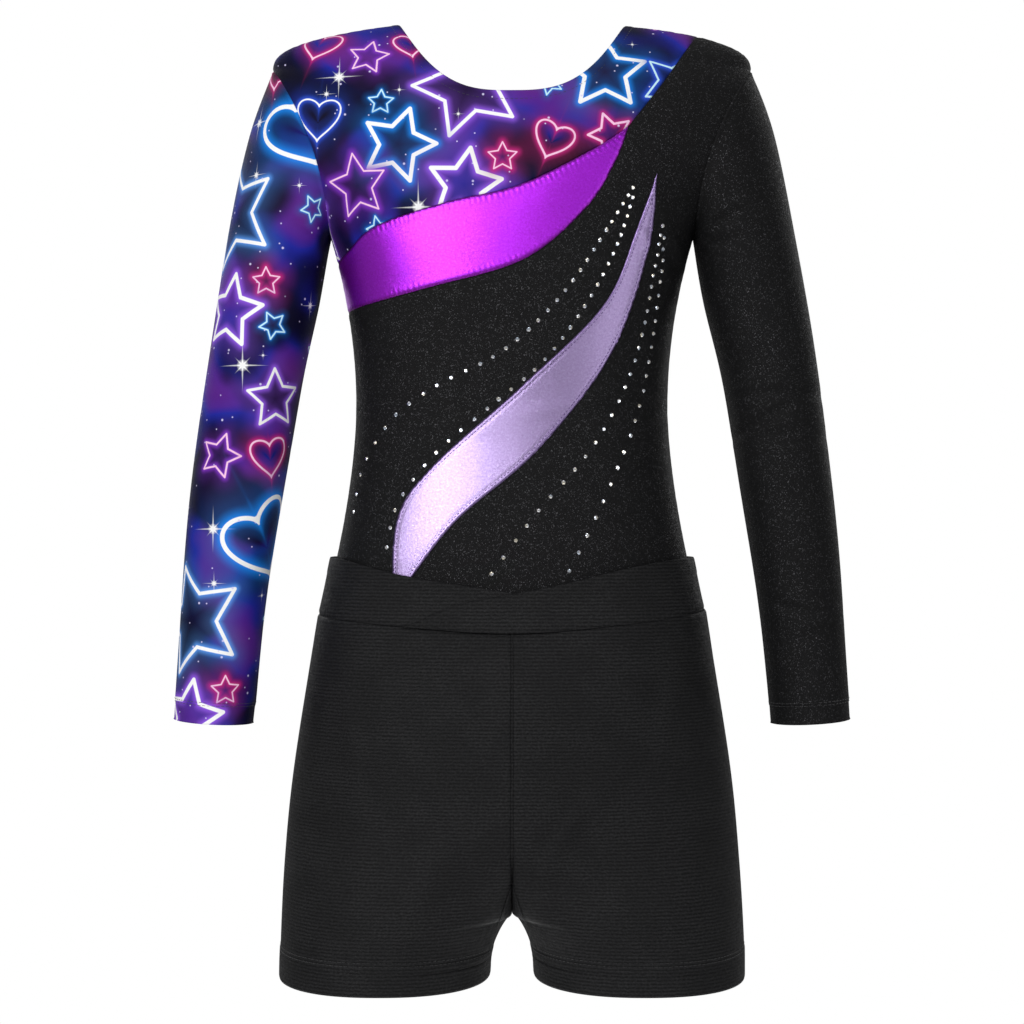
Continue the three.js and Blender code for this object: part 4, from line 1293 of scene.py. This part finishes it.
def black_satin():
    """Black satin-matte stretch knit with very fine ribs."""
    material, n, shader = new_finish("black_satin")
    flat = cloth_map(n)
    weave = knit(n, flat, 0.00075)
    cloud = n.noise(flat, 45.0, 3.0)
    colour = n.blend(cloud, (0.0028, 0.0028, 0.0032), (0.004, 0.004, 0.0044))
    colour = n.blend(n.math("MULTIPLY", weave, 0.3), colour, (0.009, 0.009, 0.0095))
    values = {"Vector": flat, "Scale": 150.0, "Distortion": 2.2, "Detail": 3.0, "Detail Scale": 1.4}
    rib = n.add("TexWave", values, out=1, bands_direction="Y")
    patch = n.span(n.noise(flat, 34.0, 2.0), 0.38, 0.62, 0.7, 1.0)
    fleck = n.span(n.noise(flat, 700.0, 2.0, 0.6), 0.42, 0.68)
    lit = n.math("ADD", n.math("MULTIPLY", rib, 0.6), n.math("MULTIPLY", fleck, 0.5))
    colour = n.blend(n.math("MULTIPLY", lit, patch, clamp=True), colour, (0.02, 0.02, 0.021))
    rough = n.span(n.noise(flat, 300.0), 0.3, 0.7, 0.42, 0.56)
    height = n.math("ADD", n.math("MULTIPLY", weave, 0.6), n.math("MULTIPLY", lit, 0.5))
    set_shader(n, shader, Base_Color=colour, Roughness=rough, Normal=n.bump(height, 0.00025, 0.6))
    set_shader(n, shader, Specular_IOR_Level=0.09)
    return material


def foil(name, deep, bright, pale, seam_shade_tint, rough):
    """Foiled stretch knit: a grainy metal-like sheen, darkened near its seams by painted shade of the
    puckers and by the overlock's own darker tone.
    """
    material, n, shader = new_finish(name)
    flat = cloth_map(n)
    grain = n.noise(flat, 900.0, 4.0, 0.7)
    coarse = n.noise(flat, 620.0, 3.0, 0.6)
    mixed = n.math("ADD", n.math("MULTIPLY", grain, 0.6), n.math("MULTIPLY", coarse, 0.4))
    colour = n.ramp(mixed, [(0.25, deep), (0.5, bright), (0.78, pale)])
    edge = n.add("Attribute", attribute_name="edge", out=2)
    near = n.span(edge, 0.0004, 0.0023, 1.0, 0.0)
    ticks = n.add("TexVoronoi", {"Vector": flat, "Scale": 1100.0}, out=0)
    near = n.math("MULTIPLY", near, n.span(ticks, 0.1, 0.6, 1.0, 0.55))
    # painted shade: within about 2 mm of a seam the colour darkens, standing in for the shade in the
    # puckered seam as well as the overlock's own darker tone
    colour = n.blend(n.math("MULTIPLY", near, 0.85), colour, seam_shade_tint)
    weave = knit(n, flat, 0.0006)
    height = n.math("ADD", n.math("MULTIPLY", mixed, 0.8), n.math("MULTIPLY", weave, 0.3))
    roughness = n.span(mixed, 0.3, 0.7, rough + 0.06, rough - 0.03)
    set_shader(n, shader, Base_Color=colour, Roughness=roughness, Metallic=0.85)
    set_shader(n, shader, Coat_Weight=0.3, Coat_Roughness=0.34)
    set_shader(n, shader, Normal=n.bump(height, 0.00016, 0.5), Specular_Tint=(1, 0.85, 1))
    return material


def plain_thread(name, colour):
    material, n, shader = new_finish(name)
    place = n.add("TexCoord", out=3)
    twist = n.add("TexWave", {"Vector": place, "Scale": 900.0, "Distortion": 1.5}, out=1)
    shade = n.blend(twist, tuple(0.6 * c for c in colour), colour)
    set_shader(n, shader, Base_Color=shade, Roughness=0.6, Normal=n.bump(twist, 0.00008, 0.6))
    set_shader(n, shader, Sheen_Weight=0.2)
    return material


def elastic_tape():
    """Ribbed woven elastic."""
    material, n, shader = new_finish("elastic_tape")
    place = n.add("TexCoord", out=3)
    rib = n.add("TexWave", {"Vector": place, "Scale": 260.0, "Distortion": 0.6, "Detail": 1.0}, out=1)
    fuzz = n.noise(place, 1600.0, 3.0)
    colour = n.blend(rib, (0.5, 0.5, 0.48), (0.76, 0.76, 0.73))
    height = n.math("ADD", rib, n.math("MULTIPLY", fuzz, 0.4))
    set_shader(n, shader, Base_Color=colour, Roughness=0.8, Normal=n.bump(height, 0.0002, 0.8))
    set_shader(n, shader, Sheen_Weight=0.3)
    return material


def woven(name, dark, light, scale, rough):
    """A plain weave of two thread directions."""
    material, n, shader = new_finish(name)
    place = n.add("TexCoord", out=3)
    warp = n.add("TexWave", {"Vector": place, "Scale": scale}, out=1, bands_direction="X")
    weft = n.add("TexWave", {"Vector": place, "Scale": scale}, out=1, bands_direction="Z")
    cross = n.math("MAXIMUM", warp, weft)
    colour = n.blend(cross, dark, light)
    colour = n.blend(n.math("MULTIPLY", n.noise(place, 120.0, 3.0), 0.3), colour, dark)
    set_shader(n, shader, Base_Color=colour, Roughness=rough, Normal=n.bump(cross, 0.00012, 0.7))
    set_shader(n, shader, Sheen_Weight=0.25)
    return material


def stone_finish():
    """Clear stones with a silvered back: bright facets that break up the light."""
    material, n, shader = new_finish("rhinestone")
    place = n.add("TexCoord", out=3)
    tone = n.noise(place, 420.0, 1.0)
    stops = [(0.35, (0.62, 0.7, 0.82)), (0.5, (0.95, 0.96, 1.0)), (0.66, (0.95, 0.88, 0.72))]
    colour = n.ramp(tone, stops)
    set_shader(n, shader, Base_Color=colour, Roughness=0.07, Metallic=0.9, Coat_Weight=0.5)
    return material


# The print. Each motif: kind, place in x and z, radius, turn in degrees, line half width, line
# colour, glow colour, and how far the glow reaches. Each glint has only a place and a radius.

WHITE, CYAN, BLUE = (1, 1, 1), (0.01, 0.27, 0.95), (0.03, 0.1, 0.75)
PINK, PURPLE, MAUVE = (0.62, 0.02, 0.22), (0.26, 0.04, 0.62), (0.34, 0.12, 0.92)
SKY = (0.12, 0.38, 1.0)
ICE, ROSE = (0.62, 0.92, 1.0), (1.0, 0.62, 0.85)


def new_group(name, result):
    """A node group from a flat place to one number: its nodes, x, y and the socket of the number."""
    tree = bpy.data.node_groups.new(name, "ShaderNodeTree")
    tree.interface.new_socket("Vector", in_out="INPUT", socket_type="NodeSocketVector")
    tree.interface.new_socket(result, in_out="OUTPUT", socket_type="NodeSocketFloat")
    source, sink = tree.nodes.new("NodeGroupInput"), tree.nodes.new("NodeGroupOutput")
    n = Nodes(tree)
    parts = n.add("SeparateXYZ", [source.outputs[0]]).node
    return n, parts.outputs[0], parts.outputs[1], sink.inputs[0]


def star_group():
    """A five-pointed star of radius 1: out comes the distance to its edge, in radii."""
    n, x, y, out = new_group("star_distance", "Distance")
    radius = n.radius(x, y)
    angle = n.math("PINGPONG", n.math("ARCTAN2", x, y), math.pi / 5)
    qx = n.math("MULTIPLY", radius, n.math("COSINE", angle))
    qy = n.math("MULTIPLY", radius, n.math("SINE", angle))
    inner = 0.5
    vx, vy = inner * math.cos(math.pi / 5), inner * math.sin(math.pi / 5)
    size = math.hypot(vx - 1, vy)
    tx, ty = (vx - 1) / size, vy / size
    from_tip = n.math("SUBTRACT", qx, 1.0)
    along = n.math("MULTIPLY_ADD", from_tip, tx, n.math("MULTIPLY", qy, ty))
    across = n.math("MULTIPLY_ADD", from_tip, ty, n.math("MULTIPLY", qy, -tx))
    over = n.math("MAXIMUM", n.math("MULTIPLY", along, -1.0), n.math("SUBTRACT", along, size))
    over = n.math("MAXIMUM", over, 0.0)
    value = n.math("SQRT", n.math("MULTIPLY_ADD", across, across, n.math("MULTIPLY", over, over)))
    n.link(value, out)
    return n.tree


def heart_group():
    """A heart 2 broad, its middle at 0: out comes the signed distance to its edge."""
    n, x, y, out = new_group("heart_distance", "Distance")
    # A circle whose height is bent up on both sides of the middle.
    bend, power, tall = 0.85, 0.6, 1.3
    x = n.math("MAXIMUM", n.math("ABSOLUTE", x), 0.02)
    y = n.math("MULTIPLY_ADD", y, tall, 0.155 * tall)
    y = n.math("SUBTRACT", y, n.math("MULTIPLY", n.math("POWER", x, power), bend))
    radius = n.math("SQRT", n.math("MULTIPLY_ADD", x, x, n.math("MULTIPLY", y, y)))
    slope = n.math("MULTIPLY", n.math("POWER", x, power - 1), bend * power)
    across = n.math("SUBTRACT", x, n.math("MULTIPLY", y, slope))
    up = n.math("MULTIPLY", y, tall)
    steep = n.math("SQRT", n.math("MULTIPLY_ADD", across, across, n.math("MULTIPLY", up, up)))
    steep = n.math("DIVIDE", steep, n.math("MAXIMUM", radius, 0.05))
    value = n.math("DIVIDE", n.math("SUBTRACT", radius, 1.0), n.math("MAXIMUM", steep, 0.6))
    n.link(value, out)
    return n.tree


def glint_group():
    """A glint with four long rays and four short ones, of radius 1: out comes its brightness."""
    n, x, y, out = new_group("glint_light", "Light")
    x, y = n.math("ABSOLUTE", x), n.math("ABSOLUTE", y)
    radius = n.radius(x, y)
    width = n.math("MULTIPLY", n.math("SUBTRACT", 1.0, radius, clamp=True), 0.05)
    thin = n.math("DIVIDE", n.math("MINIMUM", x, y), n.math("ADD", width, 0.001))
    rays = n.math("SUBTRACT", 1.0, thin, clamp=True)
    rays = n.math("MULTIPLY", rays, n.math("POWER", n.math("SUBTRACT", 1.0, radius, clamp=True), 0.7))
    skew = n.math("MULTIPLY", n.math("ABSOLUTE", n.math("SUBTRACT", x, y)), 0.707)
    near = n.math("SUBTRACT", 1.0, n.math("MULTIPLY", radius, 2.2), clamp=True)
    thin = n.math("DIVIDE", skew, n.math("MULTIPLY_ADD", near, 0.06, 0.001))
    short = n.math("SUBTRACT", 1.0, thin, clamp=True)
    core = n.math("POWER", n.math("SUBTRACT", 1.0, n.math("MULTIPLY", radius, 4.5), clamp=True), 0.8)
    light = n.math("ADD", n.math("MAXIMUM", rays, n.math("MULTIPLY", short, near)), core, clamp=True)
    n.link(light, out)
    return n.tree


def neon_print(name, motifs, groups, seed):
    """The printed knit: a mottled night ground with glowing outlined stars and hearts."""
    material, n, shader = new_finish(name)
    flat = cloth_map(n)
    shifted = n.vector("ADD", flat, (seed * 0.37, seed * 0.21, 0))
    hue = n.noise(shifted, 17.0, 1.5, 0.45)
    shade = n.noise(n.vector("ADD", shifted, (0.4, 0.9, 0)), 21.0, 1.5, 0.45)
    ground = n.ramp(hue, [
        (0.34, (0.002, 0.003, 0.03)), (0.43, (0.005, 0.008, 0.15)), (0.5, (0.012, 0.018, 0.32)),
        (0.56, (0.075, 0.016, 0.28)), (0.67, (0.12, 0.018, 0.24)),
    ])
    colour = n.blend(n.span(shade, 0.45, 0.59, 0.92, 0.0), ground, (0.0015, 0.001, 0.008))
    for kind, (px, py), radius, turn, width, line, glow, reach in motifs:
        place = n.add("Mapping", {
            "Vector": flat, "Location": (px * MM, py * MM, 0),
            "Rotation": (0, 0, math.radians(turn)), "Scale": (radius * MM,) * 3,
        }, vector_type="TEXTURE")
        node = n.tree.nodes.new("ShaderNodeGroup")
        node.node_tree = groups[kind]
        n.link(place, node.inputs[0])
        if kind == "glint":
            colour = n.blend(n.math("MULTIPLY", node.outputs[0], 0.95), colour, line)
            continue
        gap = n.math("MULTIPLY", n.math("ABSOLUTE", node.outputs[0]), radius)
        haze = n.span(gap, reach * 3.2, 0.0, 0.0, 1.0, smooth=False)
        haze = n.math("MULTIPLY", n.math("POWER", haze, 1.6), 0.5)
        colour = n.blend(haze, colour, tuple(0.45 * c for c in glow))
        halo = n.math("POWER", n.span(gap, reach, width * 0.6, 0.0, 1.0, smooth=False), 1.7)
        colour = n.blend(n.math("MULTIPLY", halo, 0.92), colour, glow)
        colour = n.blend(n.span(gap, width + 0.3, width - 0.15), colour, line)
    for scale, size, offset in ((95.0, 0.042, 0.0), (48.0, 0.032, 3.1)):
        moved = n.vector("ADD", flat, (offset, offset, 0))
        values = {"Vector": moved, "Scale": scale, "Randomness": 1.0}
        cell = n.add("TexVoronoi", values, voronoi_dimensions="2D").node
        pick = n.add("SeparateColor", [cell.outputs[1]])
        shown = n.span(pick, 0.66, 0.7)
        dot = n.span(cell.outputs[0], size * 1.5, size * 0.5)
        lit = n.math("MULTIPLY", n.math("MULTIPLY", dot, shown), 0.8)
        colour = n.blend(lit, colour, (0.75, 0.7, 1.0))
    weave = knit(n, flat, KNIT_PITCH)
    colour = n.blend(n.span(weave, 0, 1, 0.1, 0.0), colour, (0.0, 0.0, 0.01))
    set_shader(n, shader, Base_Color=colour, Roughness=0.55, Normal=n.bump(weave, 0.0001, 0.5))
    set_shader(n, shader, Specular_IOR_Level=0.1)
    return material


YOKE_MOTIFS = [
    ("star", (-26.3, -47.6), 33.3, 16.9, 1, WHITE, MAUVE, 5.5),
    ("star", (-86.5, -26.9), 12.8, -11.9, 0.45, ROSE, PURPLE, 4),
    ("heart", (-117.8, -16.9), 13.4, -18, 0.5, ROSE, PINK, 4),
    ("heart", (-60.9, -20.1), 10.3, 8, 0.45, ROSE, PINK, 3.4),
    ("star", (-78.2, -56.9), 8.0, -2.7, 0.34, ICE, CYAN, 1.8),
    ("heart", (-116.4, -66.6), 14.0, -6, 0.42, WHITE, BLUE, 4),
    ("star", (-67.6, -83.0), 23.0, -18, 1.15, WHITE, CYAN, 5.5),
    ("star", (-92.4, -106.5), 19.2, 7.4, 0.42, ROSE, PURPLE, 5),
    ("star", (-28.2, -107.9), 22.4, -9.6, 1.2, WHITE, MAUVE, 6),
    ("star", (-5.6, -91.3), 8.9, 0, 0.34, ROSE, PINK, 4.5),
    ("star", (22.3, -45.9), 8.1, 24, 0.34, ICE, CYAN, 1.8),
    ("heart", (23.7, -82.0), 11.8, -22, 0.5, ROSE, PINK, 4),
    ("star", (58.6, -77.4), 13.7, 20, 0.6, ROSE, PINK, 4),
    ("star", (55.6, -37.7), 25.7, 0, 1.15, WHITE, CYAN, 5.5),
    ("star", (98.1, -43.7), 21.2, -25.2, 0.5, ICE, BLUE, 4.5),
    ("star", (92.1, -0.6), 12.7, 11.8, 0.5, ROSE, PURPLE, 4.5),
    ("star", (-119.0, -130.2), 25.9, 16, 0.8, WHITE, MAUVE, 5),
    ("star", (-80.1, -132.8), 8.4, 10, 0.34, ICE, CYAN, 1.8),
]
YOKE_GLINTS = [
    (-104.0, -39.8, 16.2), (-111.4, -50.4, 7.2), (-55.5, -120.5, 17.8), (-67.2, -49.6, 4.8),
    (-31.9, -65.0, 4.7), (72.7, -18.7, 4.2),
]

SLEEVE_MOTIFS = [
    ("heart", (-124.4, -73.0), 25.4, 27, 1.3, WHITE, CYAN, 8.5),
    ("heart", (-143.5, -33.6), 12.1, 4, 0.5, ROSE, PINK, 4),
    ("star", (-169.7, -119.9), 33.9, 16, 1.0, WHITE, SKY, 5.0),
    ("star", (-120.4, -118.0), 8.1, 26.6, 0.36, ICE, CYAN, 1.8),
    ("star", (-148.7, -161.7), 8.6, 0, 0.36, ROSE, PINK, 4.5),
    ("star", (-172.1, -179.0), 22.8, -11.1, 1.15, WHITE, MAUVE, 6),
    ("star", (-144.9, -188.1), 8.5, 25.8, 0.36, ICE, CYAN, 1.8),
    ("star", (-117.6, -203.5), 11.9, -4.3, 0.5, ICE, MAUVE, 3.5),
    ("star", (-144.0, -232.4), 18.4, 2.4, 0.75, WHITE, MAUVE, 4.5),
    ("star", (-178.0, -266.9), 13.9, -20.2, 0.5, ROSE, PURPLE, 4),
    ("heart", (-147.5, -268.9), 12.7, 6.1, 0.5, ROSE, PINK, 4),
    ("heart", (-150.9, -321.3), 25.4, 27, 1.3, WHITE, CYAN, 8.5),
    ("star", (-195.7, -367.2), 34.2, 15.7, 1.0, WHITE, SKY, 5.0),
    ("star", (-147.5, -366.1), 8.5, 26, 0.36, ICE, CYAN, 1.8),
    ("star", (-174.5, -409.9), 9.0, 0, 0.36, ROSE, PINK, 4.5),
    ("star", (-197.9, -426.2), 23.2, -11, 1.15, WHITE, MAUVE, 6),
]
SLEEVE_GLINTS = [
    (-154.8, -63.6, 13.3), (-155.2, -96.9, 9.1), (-128.0, -104.8, 5.5), (-123.4, -174.9, 9.7),
    (-163.4, -212.4, 17.0), (-150.9, -206.3, 3.6), (-181.8, -311.6, 15.1), (-181.2, -344.7, 8.5),
    (-153.9, -352.7, 5.5),
]


def with_glints(motifs, glints):
    return motifs + [("glint", (x, z), radius, 0, 0, WHITE, WHITE, 0) for x, z, radius in glints]


# ---- Assembly -------------------------------------------------------------------------------

set_stage()

groups = {"star": star_group(), "heart": heart_group(), "glint": glint_group()}
right_sleeve, left_sleeve = Sleeve(-1), Sleeve(1)


def on_yoke(place):
    s, v = trunk.flat([place])[0]
    return float(s), float(-v)


arm_lean = math.degrees(math.asin(ARM_AXIS[0]))  # keeps the sleeve's motifs upright
yoke_print, sleeve_print = (
    with_glints(YOKE_MOTIFS, YOKE_GLINTS), with_glints(SLEEVE_MOTIFS, SLEEVE_GLINTS)
)
yoke_motifs = [(kind, on_yoke(place), *rest) for kind, place, *rest in yoke_print]
sleeve_motifs = [
    (kind, right_sleeve.print_place(*place), radius, turn + arm_lean, *rest)
    for kind, place, radius, turn, *rest in sleeve_print
]
behind = [(kind, (u - 92, v + 30), *rest) for kind, (u, v), *rest in sleeve_motifs if kind != "glint"]

finish = {
    "neon_print": neon_print("neon_print", yoke_motifs, groups, 1),
    "neon_print_sleeve": neon_print("neon_print_sleeve", sleeve_motifs + behind[::2], groups, 5),
    "black_sparkle": black_sparkle(),
    "black_satin": black_satin(),
    # the fourth colour of each foil is the painted shade at its seams, also standing for the overlock's
    # own darker tone
    "purple_foil": foil("purple_foil", (0.27, 0.005, 0.48), (0.39, 0.01, 0.7), (0.52, 0.05, 0.88),
                        (0.12, 0.0, 0.1), 0.3),
    "lilac_foil": foil("lilac_foil", (0.25, 0.17, 0.38), (0.35, 0.26, 0.49), (0.5, 0.43, 0.66),
                       (0.13, 0.07, 0.25), 0.3),
    "elastic_tape": elastic_tape(),
    "lining_knit": woven("lining_knit", (0.008, 0.008, 0.009), (0.022, 0.022, 0.024), 420.0, 0.8),
    "woven_label": woven("woven_label", (0.62, 0.62, 0.6), (0.88, 0.88, 0.86), 600.0, 0.5),
    "rhinestone": stone_finish(),
    "black_thread": plain_thread("black_thread", (0.014, 0.014, 0.016)),
    "purple_thread": plain_thread("purple_thread", (0.11, 0.045, 0.22)),
}


def finish_piece(piece, name, body):
    piece.data.materials.append(finish[name])
    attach(piece, body)


panel_finish = {
    "front_yoke": "neon_print",
    "back_yoke": "neon_print",
    "bright_band": "purple_foil",
    "front_body": "black_sparkle",
    "back_body": "black_sparkle",
}

for name, piece in make_trunk().items():
    finish_piece(piece, panel_finish[name], "leotard")
    size = BRIGHT_BAND_FLAT if name == "bright_band" else None
    declare(piece, name, size)

swoosh = make_swoosh()
finish_piece(swoosh, "lilac_foil", "leotard")
declare(swoosh, "lower_swoosh", SWOOSH_FLAT)

for body, sleeve, look in (
    ("right_sleeve", right_sleeve, "neon_print_sleeve"),
    ("left_sleeve", left_sleeve, "black_sparkle"),
):
    piece = sleeve.make(body + "_cloth")
    piece.data.materials.append(finish[look])
    way = sleeve.way
    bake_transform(piece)
    declare(piece, body)

legs = {}
gusset_parts = []
for way, node in ((-1, "shorts_right_leg"), (1, "shorts_left_leg")):
    leg = ShortsLeg(way)
    points, uv, edge, faces, gusset = leg.make()
    piece = cloth_piece(node + "_cloth", points, faces, uv, edge=edge)
    finish_piece(piece, "black_satin", "shorts")
    declare(piece, node)
    legs[way] = leg
    gusset_parts.append((points, uv, edge, gusset))

points = np.vstack([p[0] for p in gusset_parts])
uv = np.vstack([p[1] for p in gusset_parts])
edge = np.concatenate([p[2] for p in gusset_parts])
shift = len(gusset_parts[0][0])
faces = gusset_parts[0][3] + [[i + shift for i in f] for f in gusset_parts[1][3]]
gusset = cloth_piece("shorts_gusset_cloth", points, faces, uv, edge=edge)
finish_piece(gusset, "black_satin", "shorts")
declare(gusset, "shorts_gusset", GUSSET_FLAT)

for node, piece in make_band().items():
    finish_piece(piece, "black_satin", "shorts")
    declare(piece, node)

stitch, stone = stitch_shape(), stone_shape()


def thread(name, rows, colour, body, pitch=2.9, slot=None, **shape):
    frames = []
    for places, normals in rows:
        frames += stitch_frames(places, normals, pitch, **shape)
    piece = copies(name, stitch, frames)
    finish_piece(piece, colour, body)


seams = {-1: front_seams(), 1: [trunk.flat(BACK_CUT)]}
neck_rows = []
for way in (-1, 1):
    line = np.vstack([NECK_FLAT[way][::-1] * [-1, 1], NECK_FLAT[way][1:]])
    inset = offset_line(spaced(line, 1.0), NECK_HEM)
    if inset[len(inset) // 2, 1] < line[len(line) // 2, 1]:
        inset = offset_line(spaced(line, 1.0), -NECK_HEM)
    reach = trunk.reach(np.clip(inset[:, 1], 0.1, None)) - 0.3
    keep = (np.abs(inset[:, 0]) < reach) & (inset[:, 1] > 0.4)
    neck_rows.append(trunk_row(inset[keep], way, seams[way]))
thread("neck_stitching", neck_rows, "black_thread", "leotard", slot="black_sparkle")

rim_rows = []
for line, other, side in ((SWOOSH_UPPER, SWOOSH_LOWER, 1), (SWOOSH_LOWER, SWOOSH_UPPER, -1)):
    edge_line = spaced(trunk.flat(line), 1.0)
    inset = offset_line(edge_line, SWOOSH_STITCHES * side)
    across = trunk.flat(other)
    if nearest(across, inset[60:61])[0][0] > nearest(across, edge_line[60:61])[0][0]:
        inset = offset_line(edge_line, -SWOOSH_STITCHES * side)
    rim_rows.append(trunk_row(inset[12:], -1, seams[-1], 0.66))
thread(
    "swoosh_stitching", rim_rows, "purple_thread", "leotard", pitch=2.4, slot="lilac_foil", thick=0.48
)

for k, frames in enumerate(stone_frames()):
    piece = copies(f"rhinestone_row_{k + 1}", stone, frames, smooth=False)
    finish_piece(piece, "rhinestone", "leotard")

for body, sleeve in (("right_sleeve", right_sleeve), ("left_sleeve", left_sleeve)):
    rows = []
    for up in CUFF_STITCHES:
        i = len(sleeve.rows) - 1
        left = sleeve.along[-1] - sleeve.along
        ring, normal = [], []
        for j in range(sleeve.turns + 1):
            row = np.interp(up, left[::-1, j], np.arange(len(left))[::-1])
            low = int(min(row, i - 1))
            f = row - low
            ring.append(sleeve.grid[low, j] * (1 - f) + sleeve.grid[low + 1, j] * f)
            normal.append(sleeve.normal[low, j])
        rows.append((np.array(ring), np.array(normal)))
    thread(body[:-7] + "_cuff_stitching", rows, "black_thread", body, slot="black_sparkle")

hem_rows = []
for way, leg in legs.items():
    for height in (HEM_Z + up for up in SHORTS_STITCHES):
        i = int(np.argmin(np.abs(leg.heights - height)))
        i = min(max(i, 1), len(leg.heights) - 2)
        pick = slice(leg.gusset_steps, -leg.gusset_steps)
        high, low = (i - 1, i) if leg.heights[i] < height else (i, i + 1)
        f = (leg.heights[high] - height) / (leg.heights[high] - leg.heights[low])
        ring = leg.grid[high, pick] * (1 - f) + leg.grid[low, pick] * f
        hem_rows.append((ring, leg.normal[high, pick]))
thread("shorts_hem_stitching", hem_rows, "black_thread", "shorts", pitch=3.0)

inner_finish = {
    "neck_elastic": "elastic_tape",
    "right_leg_elastic": "elastic_tape",
    "left_leg_elastic": "elastic_tape",
    "waist_elastic": "elastic_tape",
    "crotch_lining": "lining_knit",
    "size_label": "woven_label",
    "care_label": "woven_label",
    "shorts_label": "woven_label",
}
for node, look in inner_finish.items():
    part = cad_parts[node]
    part.data.materials.clear()
    part.data.materials.append(finish[look])
